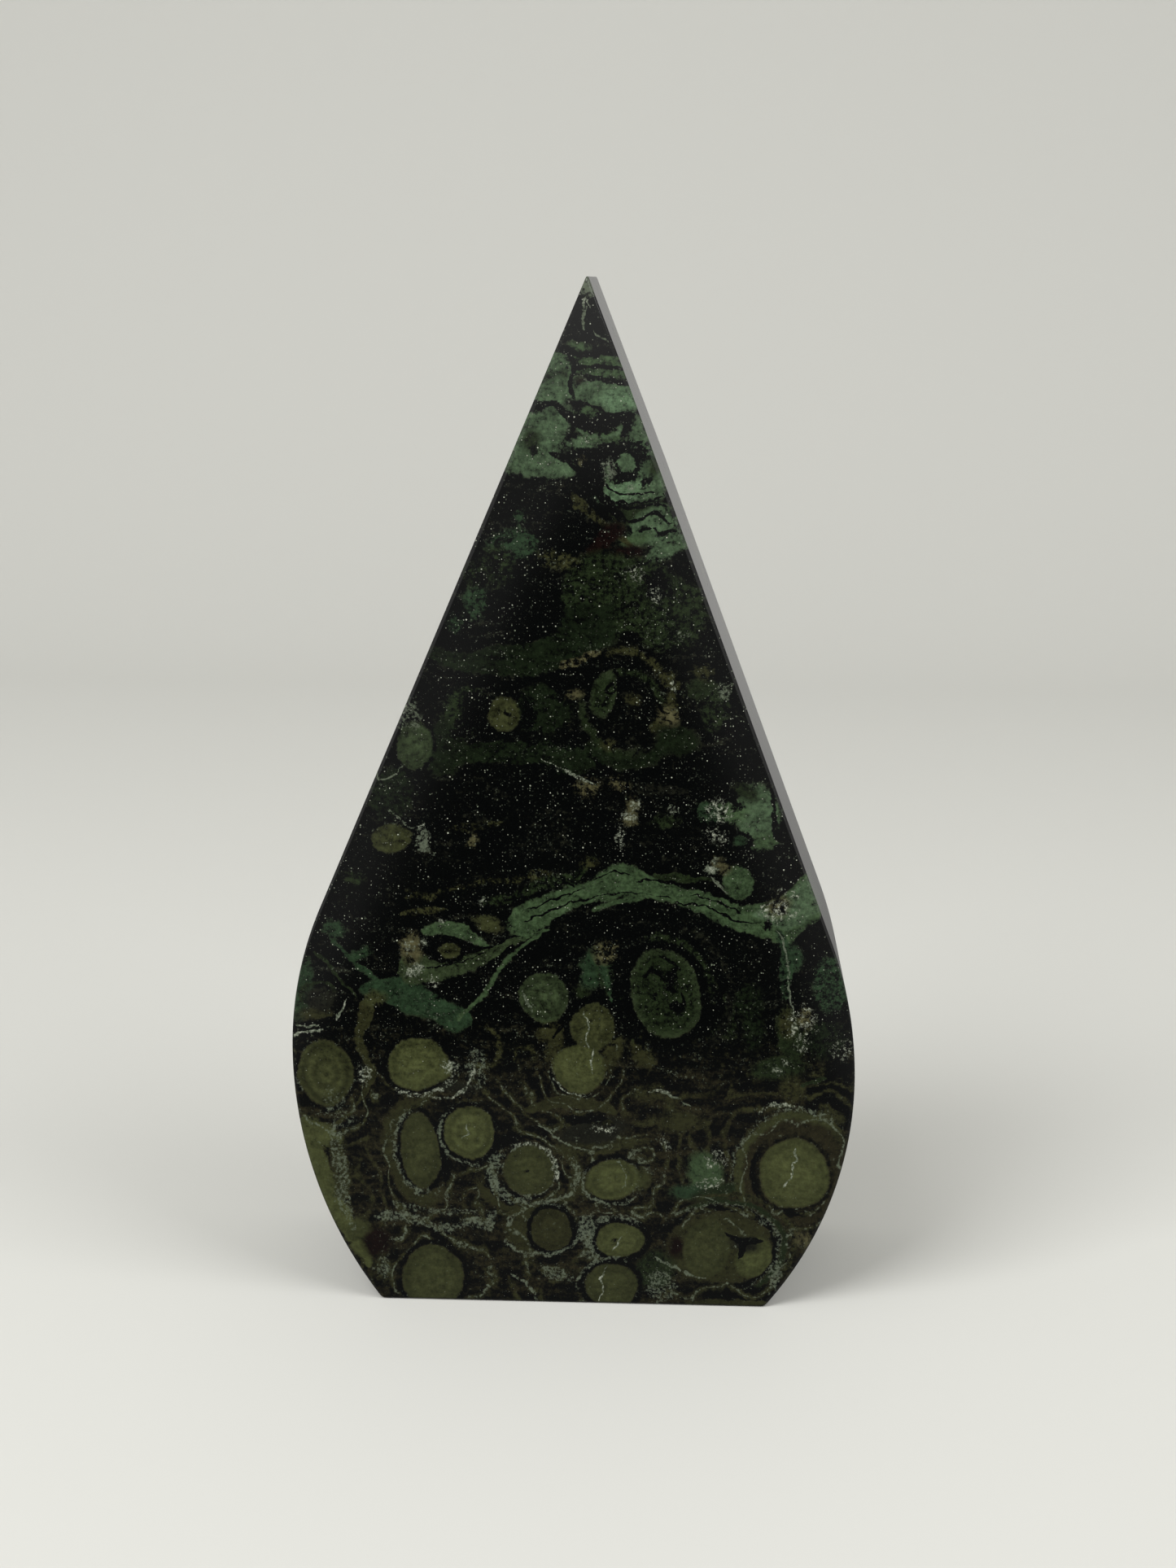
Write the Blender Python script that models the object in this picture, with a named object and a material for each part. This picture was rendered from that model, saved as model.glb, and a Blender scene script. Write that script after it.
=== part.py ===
"""Flame-shaped slab of polished kambaba jasper that stands on its sawn base.

It is one stone, cut and polished in one piece. Metres, +Z up. The origin is the middle of the base,
the front face looks along -Y, and +X is on the right of somebody who looks at that face.
"""

import math
from collections import namedtuple

import bmesh
import bpy
from mathutils import Vector

# Driving dimensions of the slab
HEIGHT = 0.120
THICKNESS = 0.026
POINT_OFFSET = 0.0014
EDGE_ROUNDING = 0.00045
EDGE_STEPS = 3
ARC_STEP = math.radians(1.6)

# One side of the outline: how far its straight flank leans from the vertical, where the belly is
# widest, and how far from the middle the side meets the base
Side = namedtuple("Side", "lean belly_out belly_height foot_out")
LEFT = Side(math.radians(23.1), 0.0328, 0.0308, 0.0227)
RIGHT = Side(math.radians(20.7), 0.0328, 0.0279, 0.0229)

# The wheel took a little more off the right wall near the point, in a facet that runs out lower down
FACET_FRONT_HEIGHT = 0.1105
FACET_BACK_HEIGHT = 0.0975
FACET_TURN = math.radians(0.9)

# Bevelled edges are those where two faces meet at more than this
SHARP_EDGE = math.radians(30)

# Look of the polished stone
STONE_COLOUR = (0.018, 0.026, 0.014, 1.0)
STONE_ROUGHNESS = 0.08


def clear_scene():
    """Removes whatever the file holds, so that only the stone is in it."""
    for thing in list(bpy.data.objects):
        bpy.data.objects.remove(thing)


def arc(centre_out, centre_height, radius, start, end):
    """Points on a circle as (outward, height), from one angle above the outward direction to another."""
    steps = max(1, round(abs(end - start) / ARC_STEP))
    angles = [start + (end - start) * i / steps for i in range(steps + 1)]
    return [
        (centre_out + radius * math.cos(a), centre_height + radius * math.sin(a))
        for a in angles
    ]


def side_points(side, point_out):
    """One side of the outline from under the point down to the base, as (outward, height).

    A straight flank runs into a round belly, whose upper arc touches the flank and whose lower arc
    ends at the foot. Both arcs are upright where the belly is widest.
    """
    drop = HEIGHT - side.belly_height
    spare = math.tan(side.lean) * drop - (side.belly_out - point_out)
    upper = spare / (1 / math.cos(side.lean) - 1)
    inset = side.belly_out - side.foot_out
    lower = (side.belly_height**2 + inset**2) / (2 * inset)
    foot_angle = math.asin(side.belly_height / lower)
    belly = arc(side.belly_out - upper, side.belly_height, upper, side.lean, 0)
    under = arc(side.belly_out - lower, side.belly_height, lower, 0, -foot_angle)
    return belly + under[1:]


def outline():
    """The whole outline as (x, z), clockwise seen from the front, starting at the point."""
    right = [(out, height) for out, height in side_points(RIGHT, POINT_OFFSET)]
    left = [(-out, height) for out, height in side_points(LEFT, -POINT_OFFSET)]
    return [(POINT_OFFSET, HEIGHT), *right, *reversed(left)]


def grind_facet(slab):
    """Takes the shallow facet off the right wall near the point.

    Its plane holds the line across the wall where the facet runs out, and is turned about that line.
    """
    front, back = -THICKNESS / 2, THICKNESS / 2
    slope = math.tan(RIGHT.lean)
    ends = [
        Vector((POINT_OFFSET + (HEIGHT - z) * slope, y, z))
        for y, z in ((front, FACET_FRONT_HEIGHT), (back, FACET_BACK_HEIGHT))
    ]
    run_out = (ends[1] - ends[0]).normalized()
    wall_normal = Vector((math.cos(RIGHT.lean), 0, math.sin(RIGHT.lean)))
    towards_point = wall_normal.cross(run_out)
    normal = wall_normal * math.cos(FACET_TURN) + towards_point * math.sin(FACET_TURN)
    cut = bmesh.ops.bisect_plane(
        slab,
        geom=slab.verts[:] + slab.edges[:] + slab.faces[:],
        plane_co=ends[0],
        plane_no=normal,
        clear_outer=True,
    )
    rim = [item for item in cut["geom_cut"] if isinstance(item, bmesh.types.BMEdge)]
    bmesh.ops.contextual_create(slab, geom=rim)


def slab_mesh():
    """The slab with sharp edges: the outline, drawn through the thickness."""
    slab = bmesh.new()
    corners = [slab.verts.new((x, -THICKNESS / 2, z)) for x, z in outline()]
    face = slab.faces.new(corners)
    drawn = bmesh.ops.extrude_face_region(slab, geom=[face])
    back = [item for item in drawn["geom"] if isinstance(item, bmesh.types.BMVert)]
    bmesh.ops.translate(slab, verts=back, vec=(0, THICKNESS, 0))
    grind_facet(slab)
    bmesh.ops.recalc_face_normals(slab, faces=slab.faces[:])
    mesh = bpy.data.meshes.new("stone")
    slab.to_mesh(mesh)
    slab.free()
    return mesh


def polished_stone():
    """Dark green polished stone."""
    material = bpy.data.materials.new("polished_kambaba_jasper")
    material.use_nodes = True
    shader = material.node_tree.nodes["Principled BSDF"]
    shader.inputs["Base Color"].default_value = STONE_COLOUR
    shader.inputs["Roughness"].default_value = STONE_ROUGHNESS
    shader.inputs["Metallic"].default_value = 0.0
    return material


def stone():
    """The one solid, with every cut edge eased."""
    mesh = slab_mesh()
    mesh.materials.append(polished_stone())
    slab = bpy.data.objects.new("stone", mesh)
    bpy.context.scene.collection.objects.link(slab)
    easing = slab.modifiers.new("eased_edges", "BEVEL")
    easing.width = EDGE_ROUNDING
    easing.segments = EDGE_STEPS
    easing.limit_method = "ANGLE"
    easing.angle_limit = SHARP_EDGE
    mesh.shade_smooth()
    mesh.set_sharp_from_angle(angle=SHARP_EDGE)
    return slab


clear_scene()
stone()
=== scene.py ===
"""Polished kambaba jasper flame, standing on its sawn base in a plain pale studio.

The stone is ground from a sawn blank and its pattern is painted in three dimensions, so that it runs on
round the walls and the back. Places in the pattern are millimetres on the front face: x to the right of
the middle, z up from the base. Depth is measured from the front face into the stone.
"""

import math
from collections import namedtuple

import bmesh
import bpy
from mathutils import Matrix, Vector


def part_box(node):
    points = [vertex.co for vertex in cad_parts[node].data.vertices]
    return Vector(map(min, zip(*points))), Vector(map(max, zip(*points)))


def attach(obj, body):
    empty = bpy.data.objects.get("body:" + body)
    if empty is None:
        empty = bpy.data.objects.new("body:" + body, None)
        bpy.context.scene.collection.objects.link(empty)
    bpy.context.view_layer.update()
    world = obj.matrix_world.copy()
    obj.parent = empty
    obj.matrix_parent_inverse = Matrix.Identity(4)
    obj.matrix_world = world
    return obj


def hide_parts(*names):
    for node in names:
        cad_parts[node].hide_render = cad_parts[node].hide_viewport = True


bl_info = {
    "name": "Kambaba jasper flame",
    "version": (1, 0, 0),
    "blender": (4, 5, 0),
    "location": "3D View > Sidebar > Jasper",
    "description": "Grinds, polishes and lights a flame-shaped slab of orb-patterned jasper",
    "category": "Add Mesh",
}

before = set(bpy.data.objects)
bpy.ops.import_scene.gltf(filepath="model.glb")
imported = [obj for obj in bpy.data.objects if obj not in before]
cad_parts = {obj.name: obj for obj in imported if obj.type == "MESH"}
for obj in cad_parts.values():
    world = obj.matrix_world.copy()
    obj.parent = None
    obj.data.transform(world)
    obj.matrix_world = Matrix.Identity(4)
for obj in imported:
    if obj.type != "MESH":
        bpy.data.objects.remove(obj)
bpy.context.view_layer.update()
CAD_LOW, CAD_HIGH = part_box("stone")

MILLIMETRES = 1000.0


# Colours


def linear(red, green, blue):
    """A colour as Blender's shaders read it, from the 0 to 255 levels that a screen shows."""
    return tuple(
        c / 12.92 if c <= 0.04045 else ((c + 0.055) / 1.055) ** 2.4
        for c in (red / 255, green / 255, blue / 255)
    )


NIGHT = linear(2, 3, 3)
SOOT = linear(19, 20, 14)
OXBLOOD = linear(13, 5, 4)
DEEP = linear(14, 21, 10)
MOSS = linear(23, 31, 16)
BOTTLE = linear(30, 45, 29)
FERN = linear(38, 47, 29)
LEAF = linear(47, 62, 40)
SAGE = linear(57, 73, 52)
MINT = linear(72, 93, 68)
# Brown low on the stone: partly its own mud, partly a painted warm reflection of the surface in front of
# the stone
MUD_AND_WARM_REFLECTION = linear(30, 28, 16)
BARK = linear(36, 37, 20)
OLIVE = linear(45, 48, 27)
KHAKI = linear(56, 60, 34)
TAN = linear(63, 61, 41)
ASH = linear(88, 96, 80)
CHALK = linear(158, 162, 146)


# Shapes of the pattern

# An ellipse that fades into the stone: its middle, half axes, the lean of its tall axis to the right in
# degrees, and its colour, with cover from 0 for bare black ground to 1 for solid colour
Patch = namedtuple("Patch", "x z wide tall lean tone cover")

# A band along a line of (x, z, half width) points
Band = namedtuple("Band", "tone cover line")

# A line round an ellipse, as far as it lies on one side, given in degrees above the right
Ring = namedtuple("Ring", "x z wide tall lean half_width side reach tone cover")

# A round body of fine-grained jasper: rings inside it, a pale rim and a black halo, each from 0 to 1
Orb = namedtuple("Orb", "x z wide tall lean tone rings rim halo")

GROUND = {
    # The point: grey-green cap, black throat, green blocks parted by black seams
    "point": (
        Patch(1.6, 119.4, 1.4, 2.0, 0, ASH, 0.95),
        Patch(0.6, 112.2, 1.0, 0.45, 5, LEAF, 0.75),
        Band(LEAF, 0.62, ((-2.6, 111.0, 0.5), (0.0, 110.9, 0.2), (2.2, 110.7, 0.35), (4.6, 110.9, 0.3))),
        Patch(-2.2, 109.2, 2.3, 2.3, 0, SAGE, 0.78),
        Patch(-2.6, 107.2, 2.5, 1.7, -10, SAGE, 0.9),
        Patch(2.9, 109.6, 3.2, 1.3, 0, LEAF, 0.75),
        Patch(3.0, 107.0, 3.6, 1.35, 0, SAGE, 1.0),
        Patch(5.2, 106.2, 2.0, 1.3, 0, MINT, 0.95),
        Patch(-2.9, 109.0, 0.7, 0.5, 0, DEEP, 0.5),
        Patch(-1.2, 109.1, 0.5, 0.6, 0, MOSS, 0.6),
        Band(NIGHT, 0.0, ((-0.3, 111.2, 0.2), (-0.1, 109.5, 0.3), (-0.5, 108.0, 0.2), (-0.2, 106.6, 0.3))),
        Band(NIGHT, 0.12, ((-0.4, 111.6, 0.12), (1.0, 111.1, 0.14), (2.4, 111.5, 0.1), (4.2, 111.3, 0.1))),
        Band(NIGHT, 0.1, ((0.3, 109.7, 0.3), (1.8, 110.0, 0.25), (3.2, 109.9, 0.25), (5.2, 109.8, 0.16))),
        Band(NIGHT, 0.1, ((0.6, 108.5, 0.6), (1.8, 108.6, 0.45), (3.2, 108.4, 0.25), (5.8, 108.0, 0.14))),
        Patch(0.8, 108.5, 0.5, 0.5, 0, OXBLOOD, 0.8),
    ),
    # The big green patch on the left flank and its black seams
    "left_patch": (
        Patch(-4.6, 102.4, 3.4, 2.8, 8, SAGE, 0.95),
        Patch(-2.3, 103.8, 2.4, 1.6, -30, SAGE, 0.95),
        Patch(-5.2, 99.8, 3.6, 1.6, -4, SAGE, 0.92),
        Patch(-1.9, 98.9, 2.4, 1.1, -8, SAGE, 0.95),
        Patch(1.2, 101.7, 2.6, 0.8, -10, SAGE, 0.85),
        Patch(-4.7, 101.9, 1.0, 1.3, 10, MOSS, 0.7),
        Patch(-4.4, 100.8, 0.35, 0.35, 0, NIGHT, 0.0),
        Band(NIGHT, 0.0, ((-6.0, 104.9, 0.4), (-4.2, 105.7, 0.55), (-2.6, 105.8, 0.35), (-0.9, 104.8, 0.6),
                          (0.3, 103.8, 0.7), (1.4, 103.3, 0.8))),
        Band(NIGHT, 0.0, ((-2.6, 100.3, 0.2), (-1.2, 99.9, 0.35), (0.2, 99.2, 0.7), (1.6, 98.6, 1.1))),
        Patch(0.9, 100.6, 1.1, 0.7, 0, NIGHT, 0.2),
    ),
    # The black eye under the bright block
    "black_eye": (
        Patch(1.6, 105.0, 1.3, 0.6, -5, LEAF, 0.7),
        Patch(3.0, 102.7, 2.6, 1.1, 12, LEAF, 0.8),
        Patch(2.3, 103.5, 2.1, 0.95, 4, NIGHT, 0.06),
        Band(NIGHT, 0.0, ((0.4, 105.8, 0.2), (2.4, 105.6, 0.14), (3.9, 104.9, 0.16), (6.8, 104.6, 0.16))),
        Patch(6.7, 103.4, 1.0, 1.2, -20, SAGE, 0.95),
        Patch(5.5, 103.4, 0.7, 0.9, 15, NIGHT, 0.0),
        Patch(7.3, 102.1, 1.5, 0.9, -20, SAGE, 0.85),
        Ring(2.6, 103.6, 2.4, 1.35, 8, 0.2, -80, 0.1, SAGE, 0.9),
    ),
    # The swirl on the right flank
    "swirl": (
        Patch(6.9, 98.6, 3.6, 3.2, -20, SAGE, 0.92),
        Patch(5.4, 100.3, 3.2, 1.5, -8, NIGHT, 0.1),
        Patch(3.9, 98.9, 1.0, 1.1, -30, ASH, 0.55),
        Band(NIGHT, 0.05, ((3.4, 99.8, 0.5), (4.6, 98.4, 0.45), (6.0, 97.8, 0.5), (6.9, 97.2, 0.4))),
        Patch(5.6, 96.3, 3.2, 1.1, -12, MINT, 0.95),
        Patch(8.6, 96.4, 1.8, 1.2, -15, SAGE, 0.9),
        Patch(8.0, 97.3, 0.8, 0.5, -10, NIGHT, 0.1),
        Patch(5.6, 98.0, 1.5, 0.7, -20, NIGHT, 0.15),
        Patch(9.0, 99.2, 0.9, 1.2, 0, MOSS, 0.7),
        Band(NIGHT, 0.1, ((1.9, 97.9, 0.1), (3.2, 96.0, 0.14), (5.2, 95.2, 0.14), (7.6, 95.2, 0.1),
                          (9.8, 95.8, 0.08))),
        Band(NIGHT, 0.0, ((2.9, 97.9, 0.12), (4.0, 96.8, 0.16), (5.6, 96.1, 0.14), (7.4, 96.1, 0.1),
                          (8.8, 96.2, 0.08))),
        Patch(7.4, 94.0, 3.4, 1.1, -8, MOSS, 0.75),
        Patch(8.6, 92.5, 2.8, 1.9, -25, SAGE, 0.68),
        Patch(10.6, 90.6, 3.2, 1.2, -32, SAGE, 0.8),
        Patch(6.7, 91.2, 1.6, 0.7, -20, LEAF, 0.85),
        Band(NIGHT, 0.05, ((4.2, 95.4, 0.14), (6.4, 94.6, 0.16), (8.2, 94.9, 0.12), (9.8, 94.6, 0.14))),
        Band(NIGHT, 0.08, ((5.6, 93.6, 0.2), (7.2, 93.4, 0.14), (8.6, 93.9, 0.2), (10.4, 93.0, 0.15))),
        Band(NIGHT, 0.1, ((7.4, 92.2, 0.2), (8.6, 92.6, 0.12), (9.6, 91.9, 0.2), (11.0, 92.2, 0.1))),
    ),
    # Black channel under the swirl, with a tan edge and a red-brown stain
    "channel": (
        Band(NIGHT, 0.05, ((1.0, 97.6, 0.8), (2.6, 96.2, 0.8), (4.2, 94.6, 0.7), (5.6, 93.0, 0.5),
                           (6.2, 92.2, 0.25))),
        Band(BARK, 0.62, ((0.2, 95.2, 0.9), (1.6, 94.2, 0.6), (3.2, 93.0, 0.5), (4.8, 91.8, 0.4),
                          (6.2, 90.8, 0.3))),
        Patch(3.4, 91.2, 2.9, 1.3, -40, OXBLOOD, 0.85),
        Patch(5.6, 89.2, 2.6, 1.3, -25, OXBLOOD, 0.65),
        Patch(1.2, 91.6, 1.6, 1.1, -20, NIGHT, 0.1),
    ),
    # Cloudy green on the left flank and the granular cloud in the middle
    "clouds": (
        Patch(-6.7, 90.5, 3.1, 1.8, -8, BOTTLE, 0.62),
        Patch(-8.6, 88.0, 2.0, 2.4, 0, MOSS, 0.42),
        Patch(-6.0, 93.6, 0.7, 0.9, 0, BOTTLE, 0.55),
        Patch(-11.0, 84.0, 1.4, 1.9, 8, BOTTLE, 0.6),
        Patch(-13.4, 81.4, 1.0, 1.2, 0, BOTTLE, 0.55),
        Patch(-11.6, 87.0, 1.4, 1.6, 0, MOSS, 0.45),
        Patch(4.4, 84.6, 7.6, 4.4, -12, MOSS, 0.56),
        Patch(2.6, 88.0, 3.2, 1.6, -8, MOSS, 0.6),
        Patch(-1.8, 88.9, 2.4, 1.0, 10, BARK, 0.48),
        Patch(10.8, 82.6, 4.2, 4.0, -20, MOSS, 0.55),
        Patch(1.6, 81.2, 3.4, 2.6, 20, DEEP, 0.8),
        Patch(9.4, 86.2, 1.4, 1.6, 0, NIGHT, 0.2),
        Patch(-4.8, 83.6, 3.9, 3.3, 24, NIGHT, 0.02),
        Patch(-3.4, 86.2, 2.6, 1.2, 0, NIGHT, 0.08),
    ),
    # Dark green band across the waist
    "waist": (
        Band(DEEP, 0.72, ((-15.8, 77.9, 0.8), (-12.0, 77.2, 1.1), (-8.0, 77.4, 1.8), (-4.5, 77.7, 2.0),
                          (-1.0, 78.8, 2.2), (1.8, 80.4, 2.3), (4.0, 82.2, 2.0))),
        Band(TAN, 0.42, ((-1.4, 76.8, 0.35), (0.6, 77.3, 0.5), (2.0, 78.2, 0.45), (2.8, 78.6, 0.2))),
    ),
    # Blotches round the upper orbs
    "blotches": (
        Patch(-3.4, 71.8, 3.4, 3.0, 0, DEEP, 0.7),
        Patch(-12.5, 71.5, 2.4, 3.2, 20, MOSS, 0.46),
        Patch(-6.0, 67.0, 9.5, 1.5, -3, DEEP, 0.62),
        Patch(-14.6, 67.2, 2.6, 3.2, 0, DEEP, 0.85),
        Patch(0.6, 66.0, 4.0, 1.6, -18, DEEP, 0.9),
        Band(NIGHT, 0.0, ((-12.0, 76.0, 0.2), (-11.0, 74.8, 0.6), (-9.0, 74.3, 0.45), (-6.5, 74.9, 0.4),
                          (-4.2, 75.3, 0.4), (-2.4, 74.8, 0.4))),
        Patch(-11.2, 71.6, 1.5, 1.7, 10, NIGHT, 0.0),
        Patch(-5.2, 71.4, 0.9, 1.7, 0, NIGHT, 0.12),
        Patch(-7.3, 68.9, 2.6, 0.7, 0, NIGHT, 0.12),
        Patch(-4.6, 68.8, 0.9, 0.8, 0, NIGHT, 0.1),
        Patch(-12.6, 69.3, 1.5, 0.8, -15, NIGHT, 0.2),
        Patch(0.3, 74.2, 2.2, 1.9, 0, NIGHT, 0.08),
        Patch(0.1, 73.6, 1.0, 0.5, -5, TAN, 0.75),
        Patch(-0.6, 68.6, 1.9, 1.5, -10, NIGHT, 0.18),
    ),
    # The second eye, black with green arcs and a tan lump on its right
    "second_eye": (
        Patch(6.4, 72.6, 4.8, 5.6, -8, NIGHT, 0.2),
        Ring(5.6, 73.4, 5.2, 5.4, -10, 0.45, 60, 0.55, BARK, 0.6),
        Ring(6.2, 72.4, 3.7, 3.9, -8, 0.5, 60, 0.4, MOSS, 0.6),
        Ring(5.6, 72.4, 4.6, 5.6, -8, 0.55, -125, 0.55, MOSS, 0.85),
        Ring(6.0, 72.6, 5.4, 6.9, -12, 0.7, -80, 0.6, DEEP, 0.95),
        Ring(6.0, 72.6, 6.4, 8.6, -12, 0.4, -80, 0.6, NIGHT, 0.0),
        Patch(6.8, 73.0, 0.9, 0.8, 0, BARK, 0.7),
        Patch(3.8, 68.2, 0.9, 0.6, 0, BARK, 0.65),
        Band(BARK, 0.72, ((11.2, 76.0, 0.5), (11.6, 74.4, 0.7), (11.0, 72.6, 1.0), (10.2, 71.0, 1.0),
                          (9.3, 69.6, 0.6))),
        Patch(13.6, 73.2, 2.2, 2.6, -10, NIGHT, 0.25),
        Patch(14.6, 74.2, 1.9, 1.3, 10, MOSS, 0.85),
        Patch(14.4, 76.4, 1.2, 1.0, 10, BARK, 0.6),
        Patch(16.0, 72.0, 1.4, 2.6, 20, MOSS, 0.5),
        Patch(11.7, 68.5, 2.5, 1.8, 12, DEEP, 1.0),
    ),
    # Dim bedding in the black middle
    "dim_bedding": (
        Patch(15.0, 65.0, 3.2, 2.6, -20, NIGHT, 0.03),
        Patch(-4.0, 63.4, 4.2, 2.2, 0, NIGHT, 0.05),
        Patch(-16.6, 61.6, 3.4, 1.4, 10, NIGHT, 0.15),
        Patch(-20.6, 62.0, 2.6, 3.4, 24, DEEP, 0.55),
        Band(SOOT, 0.55, ((6.0, 62.2, 0.3), (9.5, 63.0, 0.5), (13.0, 62.8, 0.3))),
        Band(BARK, 0.4, ((-14.0, 58.0, 0.4), (-11.0, 58.2, 0.5), (-8.5, 58.6, 0.3))),
        Band(BARK, 0.42, ((-19.0, 50.0, 0.5), (-17.0, 49.9, 0.5), (-14.0, 50.8, 0.3), (-11.0, 51.6, 0.4),
                          (-7.0, 52.0, 0.5), (-3.0, 52.8, 0.5))),
        Band(BARK, 0.45, ((-19.4, 47.8, 0.4), (-17.4, 48.3, 0.5), (-14.5, 48.6, 0.2))),
        Band(MOSS, 0.45, ((-10.0, 49.2, 0.4), (-6.0, 50.4, 0.7), (-3.0, 51.8, 0.8), (0.4, 52.6, 0.7),
                          (2.2, 54.4, 0.6))),
        Patch(1.9, 54.2, 1.2, 0.7, 10, BARK, 0.55),
    ),
    # Bright green on the right flank
    "bright_patch": (
        Patch(20.9, 60.0, 2.5, 3.6, -8, SAGE, 0.95),
        Patch(21.8, 57.0, 1.6, 1.0, -5, LEAF, 0.92),
        Patch(19.6, 62.6, 1.6, 1.0, 30, MOSS, 0.8),
        Patch(17.9, 60.4, 1.7, 1.2, 0, LEAF, 0.72),
        Patch(15.4, 60.3, 1.5, 1.4, 0, BOTTLE, 0.7),
        Ring(15.6, 60.6, 1.5, 2.0, 30, 0.16, 130, 0.3, NIGHT, 0.0),
        Patch(18.6, 61.0, 0.5, 0.5, 0, NIGHT, 0.1),
        Band(NIGHT, 0.05, ((22.7, 62.6, 0.25), (22.6, 59.5, 0.3), (23.3, 57.2, 0.4))),
        Patch(10.4, 59.2, 1.7, 0.8, -5, MOSS, 0.55),
    ),
    # Left branch of the wave, the green lens and the teal patch
    "wave_branch": (
        Band(BOTTLE, 0.95, ((-24.2, 38.6, 0.5), (-21.6, 38.4, 1.4), (-19.0, 37.9, 2.2), (-16.4, 36.7, 2.0),
                            (-14.4, 35.6, 1.9), (-12.0, 35.2, 1.0))),
        Band(FERN, 0.9, ((-19.6, 41.0, 1.5), (-17.4, 41.2, 1.6), (-15.0, 41.0, 1.2), (-12.0, 42.0, 1.1),
                         (-9.0, 43.4, 0.8), (-6.4, 44.9, 0.5), (-4.6, 46.0, 0.4))),
        Band(NIGHT, 0.1, ((-18.6, 41.7, 0.08), (-16.0, 41.6, 0.12), (-13.2, 42.0, 0.1),
                          (-10.4, 43.2, 0.08))),
        Band(LEAF, 0.9, ((-17.2, 45.8, 0.5), (-15.0, 46.3, 0.8), (-12.6, 45.8, 0.9), (-11.0, 44.6, 0.6),
                         (-9.8, 44.0, 0.3))),
        Patch(-9.8, 46.7, 1.6, 0.9, 22, OLIVE, 0.9),
        Patch(-5.6, 46.6, 1.9, 1.6, 20, LEAF, 0.75),
        Band(NIGHT, 0.0, ((-11.4, 43.4, 0.2), (-9.4, 43.9, 0.16), (-7.6, 44.9, 0.12), (-6.2, 45.4, 0.1))),
        Patch(-13.9, 38.9, 2.2, 1.3, -10, NIGHT, 0.0),
        Band(NIGHT, 0.04, ((-14.0, 38.6, 0.7), (-11.6, 40.2, 0.5), (-9.2, 42.0, 0.4), (-7.2, 43.9, 0.2))),
        Band(LEAF, 0.95, ((-13.0, 35.4, 0.35), (-11.6, 37.0, 0.35), (-9.8, 39.4, 0.35), (-8.4, 41.3, 0.35),
                          (-6.8, 43.2, 0.3), (-5.0, 44.8, 0.35), (-3.6, 45.8, 0.4))),
    ),
    # The wave
    "wave": (
        Band(LEAF, 1.0, ((-7.0, 47.4, 0.6), (-4.0, 48.1, 1.9), (-2.0, 49.2, 1.7), (0.0, 50.2, 1.5),
                         (2.0, 50.8, 1.4), (4.0, 51.6, 2.0), (6.0, 52.0, 2.1), (8.0, 51.7, 1.8),
                         (10.0, 51.1, 1.3), (12.0, 50.5, 1.1), (14.0, 49.8, 1.2), (16.0, 49.0, 1.4),
                         (18.0, 48.4, 1.5), (20.0, 47.9, 1.7), (22.0, 47.7, 2.3), (24.0, 48.0, 2.9),
                         (26.0, 49.6, 3.2), (29.0, 51.4, 2.6))),
        Band(SAGE, 1.0, ((21.0, 48.4, 0.3), (23.6, 48.4, 1.4), (26.0, 49.8, 2.4), (29.0, 51.6, 2.2))),
        Band(LEAF, 0.85, ((2.6, 48.6, 0.3), (5.0, 49.3, 0.35), (8.0, 49.9, 0.3))),
        Patch(-1.0, 46.8, 1.3, 1.1, 0, NIGHT, 0.3),
        Ring(-1.0, 46.8, 1.3, 1.15, 0, 0.12, 120, 0.0, NIGHT, 0.0),
        Band(NIGHT, 0.0, ((-1.9, 51.5, 0.1), (-0.9, 51.8, 0.14), (0.2, 51.5, 0.1))),
        Band(NIGHT, 0.05, ((-5.4, 47.0, 0.1), (-2.8, 48.3, 0.16), (-0.2, 49.5, 0.14), (2.4, 50.1, 0.1))),
        Band(NIGHT, 0.1, ((-4.8, 48.7, 0.08), (-3.0, 49.5, 0.14), (-1.0, 50.4, 0.12), (1.2, 51.3, 0.08))),
        Band(NIGHT, 0.15, ((2.4, 52.2, 0.06), (4.8, 52.9, 0.12), (7.0, 52.8, 0.06))),
        Band(NIGHT, 0.0, ((7.4, 52.1, 0.08), (9.0, 52.4, 0.14), (10.8, 52.1, 0.2), (12.8, 51.7, 0.3),
                          (14.6, 51.4, 0.45), (16.2, 50.7, 0.5), (17.6, 50.2, 0.2))),
        Band(MOSS, 0.8, ((9.6, 53.0, 0.4), (12.0, 52.6, 0.5), (14.4, 52.3, 0.3), (15.6, 52.3, 0.2))),
        Band(NIGHT, 0.05, ((11.6, 49.6, 0.08), (14.4, 49.2, 0.12), (16.6, 48.4, 0.14), (18.8, 47.6, 0.1),
                           (20.6, 47.2, 0.06))),
        Band(NIGHT, 0.05, ((13.4, 50.3, 0.06), (15.6, 49.9, 0.1), (17.4, 49.2, 0.12), (19.4, 48.4, 0.06))),
        Band(NIGHT, 0.08, ((2.0, 50.1, 0.06), (5.0, 50.4, 0.08), (8.0, 50.6, 0.06), (11.0, 50.2, 0.08))),
        Patch(22.2, 47.1, 0.6, 0.6, 0, NIGHT, 0.1),
    ),
    # Green column and the speckled line under the wave's right end
    "green_column": (
        Band(BOTTLE, 0.62, ((23.6, 46.4, 0.5), (24.4, 44.0, 0.7), (24.4, 41.0, 0.8), (24.6, 38.6, 0.7))),
        Patch(25.3, 43.6, 1.2, 1.6, 0, BOTTLE, 0.85),
        Patch(25.2, 34.0, 1.8, 3.4, -8, MOSS, 0.72),
        Patch(24.8, 35.4, 1.0, 1.7, 0, BARK, 0.7),
        Patch(26.9, 36.0, 0.7, 1.4, 0, TAN, 0.55),
        Patch(24.0, 29.8, 3.4, 1.6, -8, MOSS, 0.66),
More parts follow.
